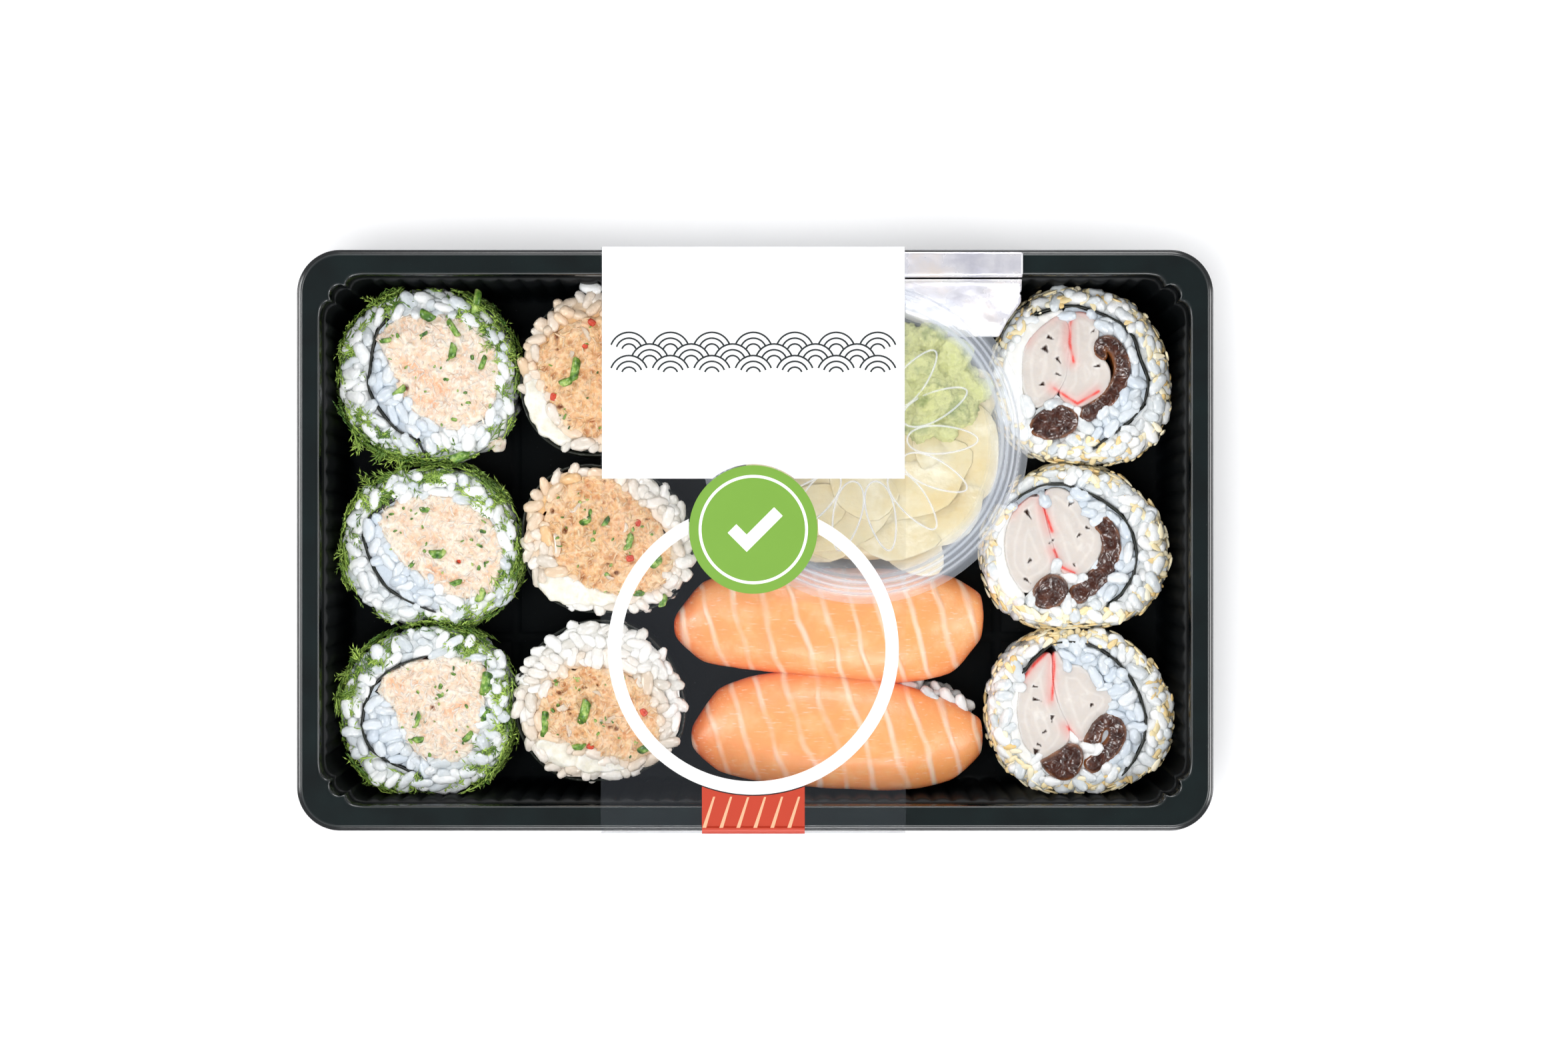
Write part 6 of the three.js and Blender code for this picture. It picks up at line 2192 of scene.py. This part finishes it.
def raw_salmon(look):
    """Raw salmon: wet orange flesh with slanted lines of pale fat, redder towards its left end, with painted
    shade in deeper red on its tilted sides and painted glints.
    """
    made = food(
        "Raw salmon", [(0.3, scaled(look.salmon, 0.95)), (0.5, look.salmon), (0.72, "#FFC08A")],
        patch=7,
        bumps=((2.4, 0.12), (0.5, 0.05)), roughness=(0.32, 0.46), soak=0.45, soak_mm=(4.0, 1.6, 0.8),
        coat=0.08,
    )
    tree = made.node_tree
    shader = tree.nodes["Principled BSDF"]
    flesh = shader.inputs["Base Color"].links[0].from_socket
    place = add_node(tree, "TexCoord").outputs["Object"]
    slant = math.radians(17)
    across = add_node(
        tree, "VectorMath", {0: place, 1: (math.cos(slant), math.sin(slant), 0)},
        operation="DOT_PRODUCT"
    ).outputs["Value"]
    sway = add_node(tree, "TexNoise", {"Vector": place, "Scale": 1 / (16 * MM),
                                       "Detail": 1.5}).outputs[0]
    swung = add_node(tree, "Math", {0: sway, 1: 5.5 * MM, 2: across},
                     operation="MULTIPLY_ADD").outputs[0]
    phase = add_node(tree, "Math", {0: swung, 1: look.fat_gap}, operation="DIVIDE").outputs[0]
    part = add_node(tree, "Math", {0: phase}, operation="FRACT").outputs[0]
    centred = add_node(tree, "Math", {0: part, 1: 0.5}, operation="SUBTRACT").outputs[0]
    away = add_node(tree, "Math", {0: centred}, operation="ABSOLUTE").outputs[0]
    line = add_node(tree, "MapRange", {0: away, 1: 0.34, 2: 0.48},
                    interpolation_type="SMOOTHSTEP").outputs[0]
    faint = add_node(tree, "TexNoise", {"Vector": place, "Scale": 1 / (11 * MM),
                                        "Detail": 2.0}).outputs[0]
    strength = add_node(tree, "MapRange", {0: faint, 1: 0.35, 2: 0.6, 3: 0.25, 4: 0.85}).outputs[0]
    line = add_node(tree, "Math", {0: line, 1: strength}, operation="MULTIPLY").outputs[0]
    # thin paints the tilted sides deeper red as shade, and the flesh redder towards the left end.
    thin = add_node(tree, "Attribute", attribute_name="thin").outputs["Fac"]
    colour = add_node(tree, "Mix", {0: thin, 6: flesh, 7: look.rim}, data_type="RGBA").outputs[2]
    colour = add_node(tree, "Mix", {0: line, 6: colour, 7: "#FFDCC4"}, data_type="RGBA").outputs[2]
    # Slanted whitish dashes mixed into the colour are painted glints.
    streaks = add_node(tree, "Mapping", {0: place, 2: (0, 0, math.radians(35)), 3: (0.35, 2.2, 1)})
    glints = add_node(tree, "TexNoise", {0: streaks.outputs[0], "Scale": 1 / (1.1 * MM), "Detail": 3.0})
    glint = add_node(tree, "MapRange", {0: glints.outputs[0], 1: 0.6, 2: 0.72, 4: 0.4}).outputs[0]
    colour = add_node(tree, "Mix", {0: glint, 6: colour, 7: "#FFE6D2"}, data_type="RGBA").outputs[2]
    tree.links.new(colour, shader.inputs["Base Color"])
    raised = add_node(tree, "Bump", {"Height": line, "Distance": 0.25 * MM})
    tree.links.new(shader.inputs["Normal"].links[0].from_socket, raised.inputs["Normal"])
    tree.links.new(raised.outputs[0], shader.inputs["Normal"])
    return made


class SUSHITRAY_OT_nigiri(bpy.types.Operator):
    """Makes the two salmon nigiri"""

    bl_idname = "sushi_tray.nigiri"
    bl_label = "Salmon nigiri"

    def execute(self, context):
        scene = context.scene
        rice, fish = scene.sushi_tray_rice, scene.sushi_tray_fish
        grains = boiled_rice(rice)
        salmon = raw_salmon(fish)
        for number in (1, 2):
            name = f"nigiri_{number}"
            slice_piece = remeshed(node_copy(name + "_salmon", name + "_slice"), 0.62, 130, 0.6)
            places, normals = points_of(slice_piece)
            low, high = box_of(name + "_salmon")
            soft = sum(h * field(places[:, 0], places[:, 1], size, number + k)
                       for h, size, k in ((0.28, 9.0, 0), (0.12, 3.1, 3)))
            places += normals * (1.0 + soft * np.abs(normals[:, 2]))[:, None]
            places[:, 2] = np.minimum(places[:, 2], high.z)
            # The slices hang over their beds most at their lower right corners.
            right = np.clip((places[:, 0] - low.x) / (high.x - low.x) * 2.2 - 1.2, 0, 1)
            up = (places[:, 1] - (low.y + high.y) / 2) / (high.y - low.y) * 2
            down = np.clip(-up, 0, 1)
            # Elsewhere the two slices lie against each other.
            toward = down if number == 1 else -np.clip(up - 3.2 / (high.y - low.y) * right * down, 0, 1)
            places[:, 1] -= 1.6 * right * down + 1.3 * (1 - right) * toward
            set_points(slice_piece, places)
            # Tilted sides are marked for painted shade in deeper red; the left end is marked redder.
            thin = np.clip((0.8 - normals[:, 2]) / 0.6, 0, 1) ** 1.3
            end = np.exp(-(places[:, 0] - places[:, 0].min()) / 4.5)
            attribute(slice_piece, "thin", np.clip(0.75 * thin + 0.75 * end, 0, 1))
            finish(slice_piece, salmon, "salmon", name + "_salmon")
            self.grains(name, grains, rice, 160 + number)
        return {"FINISHED"}

    def grains(self, name, material, look, seed):
        """Grains over the bed: on its walls, and wherever the slice leaves it bare."""
        rice = name + "_rice"
        tree, owners = shell(nodes_like(name))
        low, high = box_of(rice)
        middle = middle_of(rice)
        chance = random.Random(seed)

        def wall(chance):
            x = chance.uniform(low.x, high.x)
            y = chance.choice((-1, 1)) * 40 + middle[1]
            z = chance.uniform(4.8, 20)
            start, aim = Vector((x, y, z)), Vector((0, -1 if y > middle[1] else 1, 0))
            if chance.random() < 0.25:
                side = chance.choice((-1, 1))
                start = Vector((middle[0] + side * 60, middle[1] + chance.uniform(-12, 12), z))
                aim = Vector((-side, 0, 0))
            hit = tree.ray_cast(start, aim)
            if hit[0] is None or owners[hit[2]] != rice:
                return None
            return hit[0] + aim * 0.5, (hit[1] - aim).normalized(), chance.uniform(0, 6.28)

        def top(chance):
            hit = below(tree, chance.uniform(low.x, high.x), chance.uniform(low.y, high.y))
            if hit[0] is None or owners[hit[2]] != rice or hit[0].z < 3:
                return None
            return hit[0] + 0.3 * DOWN, (hit[1] + 0.3 * UP).normalized(), chance.uniform(0, 6.28)

        def heap(chance):
            dart = top(chance)
            if dart is None or dart[0].x < low.x + 0.74 * (high.x - low.x):
                return None
            return dart[0] + chance.uniform(1.0, 4.2) * UP, Vector((0.3, 0.3, 1)).normalized(), dart[2]

        half = 0.3 * look.length / MM
        darts, taken = pack(chance, 700, 0.6 * look.top_gap / MM, half, heap)
        for share in (1.0, 0.7):
            for tries, gap, propose in ((1500, look.side_gap, wall), (900, look.top_gap, top)):
                found, taken = pack(chance, tries, share * gap / MM, share * half, propose, taken)
                darts += found
        return pressed_rice(name, darts, chance, material, look, seed)


class SUSHITRAY_OT_stage(bpy.types.Operator):
    """Makes the floor, the light and the camera"""

    bl_idname = "sushi_tray.stage"
    bl_label = "Floor, light and camera"

    def execute(self, context):
        look = context.scene.sushi_tray_stage
        scene = context.scene
        scene.view_settings.view_transform = "Standard"
        scene.view_settings.look = "None"
        half = 2600
        floor = mesh_piece("light_table", loft([
            [(x * half, y * half, z) for x, y in ((-1, -1), (1, -1), (1, 1), (-1, 1))] for z in (-6, 0)
        ]), smooth=False, mend=True)
        # Opal acrylic lit from below: white, and brightest where nothing stands in the light.
        opal = food("Opal acrylic sheet", [(0.3, scaled(look.floor, 0.99)), (0.7, look.floor)],
                    patch=80,
                    bumps=((2.0, 0.01),), roughness=(0.75, 0.85))
        shader = opal.node_tree.nodes["Principled BSDF"]
        shader.inputs["Emission Color"].default_value = (1, 1, 1, 1)
        shader.inputs["Emission Strength"].default_value = look.glow
        floor.data.materials.append(opal)
        self.world(scene, look)
        # Long boxes are seen in gloss alone; the key box is not seen in it.
        for name, place, size, watts in (
            ("left_strip", (-0.95, 0.1, 0.6), 0.6, look.strip),
            ("right_strip", (0.95, -0.1, 0.6), 0.6, look.strip),
            ("back_strip", (0.1, 0.95, 0.6), 0.6, look.strip),
            ("front_strip", (0.1, -0.95, 0.6), 0.6, look.strip),
            ("key", (-0.17, -0.19, 1.05), 0.46, look.light),
            ("left_box", (-0.95, 0.1, 0.5), 0.16, look.side),
            ("right_box", (0.95, -0.2, 0.5), 0.16, look.side),
            ("back_box", (0.1, 0.9, 0.45), 0.16, look.side),
            ("front_box", (0.2, -0.9, 0.45), 0.16, look.side),
        ):
            data = bpy.data.lights.new(name, "AREA")
            data.size, data.energy, long = size, watts, name.endswith("strip")
            data.shape = "RECTANGLE" if long else "SQUARE"
            if long:
                data.size_y = 0.35
            lamp = linked(name, data)
            lamp.location = place
            lamp.rotation_euler = Vector(place).to_track_quat("Z", "Y").to_euler()
            lamp.visible_diffuse, lamp.visible_glossy = not long, name != "key"
        data = bpy.data.cameras.new("camera")
        data.sensor_width, data.lens, data.clip_end = 36.0, look.lens, 20
        scene.camera = linked("camera", data)
        scene.camera.location = (7.0 * MM, 4.3 * MM, look.height)
        return {"FINISHED"}

    def world(self, scene, look):
        """White walls under a dark ceiling, so that flat black plastic stays black from above."""
        world = bpy.data.worlds.new("Studio")
        scene.world = world
        world.use_nodes = True
        tree = world.node_tree
        back = tree.nodes["Background"]
        way = add_node(tree, "TexCoord").outputs["Generated"]
        up = add_node(tree, "SeparateXYZ", {0: way}).outputs[2]
        fade = add_node(tree, "MapRange", {0: up, 1: 0.8, 2: 0.96, 3: 1.0, 4: 0.08},
                        interpolation_type="SMOOTHSTEP").outputs[0]
        strength = add_node(tree, "Math", {0: fade, 1: look.sky}, operation="MULTIPLY").outputs[0]
        back.inputs["Color"].default_value = linear("#F7F8FA")
        tree.links.new(strength, back.inputs["Strength"])


OPERATORS = (
    SUSHITRAY_OT_tray, SUSHITRAY_OT_film, SUSHITRAY_OT_pot, SUSHITRAY_OT_sachet,
    SUSHITRAY_OT_dill_rolls,
    SUSHITRAY_OT_tuna_rolls, SUSHITRAY_OT_sesame_rolls, SUSHITRAY_OT_nigiri, SUSHITRAY_OT_stage,
)
GROUPS = {
    "sushi_tray_tray": SUSHITRAY_PG_tray, "sushi_tray_film": SUSHITRAY_PG_film,
    "sushi_tray_pot": SUSHITRAY_PG_pot,
    "sushi_tray_rice": SUSHITRAY_PG_rice, "sushi_tray_coat": SUSHITRAY_PG_coat,
    "sushi_tray_fish": SUSHITRAY_PG_fish,
    "sushi_tray_stage": SUSHITRAY_PG_stage,
}


class SUSHITRAY_PT_panel(bpy.types.Panel):
    """The tray's settings and its pieces"""

    bl_idname = "SUSHITRAY_PT_panel"
    bl_label = "Sushi tray"
    bl_space_type = "VIEW_3D"
    bl_region_type = "UI"
    bl_category = "Sushi tray"

    def draw(self, context):
        for group, kind in GROUPS.items():
            box = self.layout.box()
            box.label(text=kind.__doc__)
            for setting in kind.__annotations__:
                box.prop(getattr(context.scene, group), setting)
        for operator in OPERATORS:
            self.layout.operator(operator.bl_idname)


def register():
    for kind in (*GROUPS.values(), *OPERATORS, SUSHITRAY_PT_panel):
        bpy.utils.register_class(kind)
    for group, kind in GROUPS.items():
        setattr(bpy.types.Scene, group, bpy.props.PointerProperty(type=kind))


def unregister():
    for group in GROUPS:
        delattr(bpy.types.Scene, group)
    for kind in (SUSHITRAY_PT_panel, *OPERATORS[::-1], *list(GROUPS.values())[::-1]):
        bpy.utils.unregister_class(kind)


def main():
    register()
    for operator in OPERATORS:
        group, name = operator.bl_idname.split(".")
        getattr(getattr(bpy.ops, group), name)()


if __name__ == "__main__":
    main()
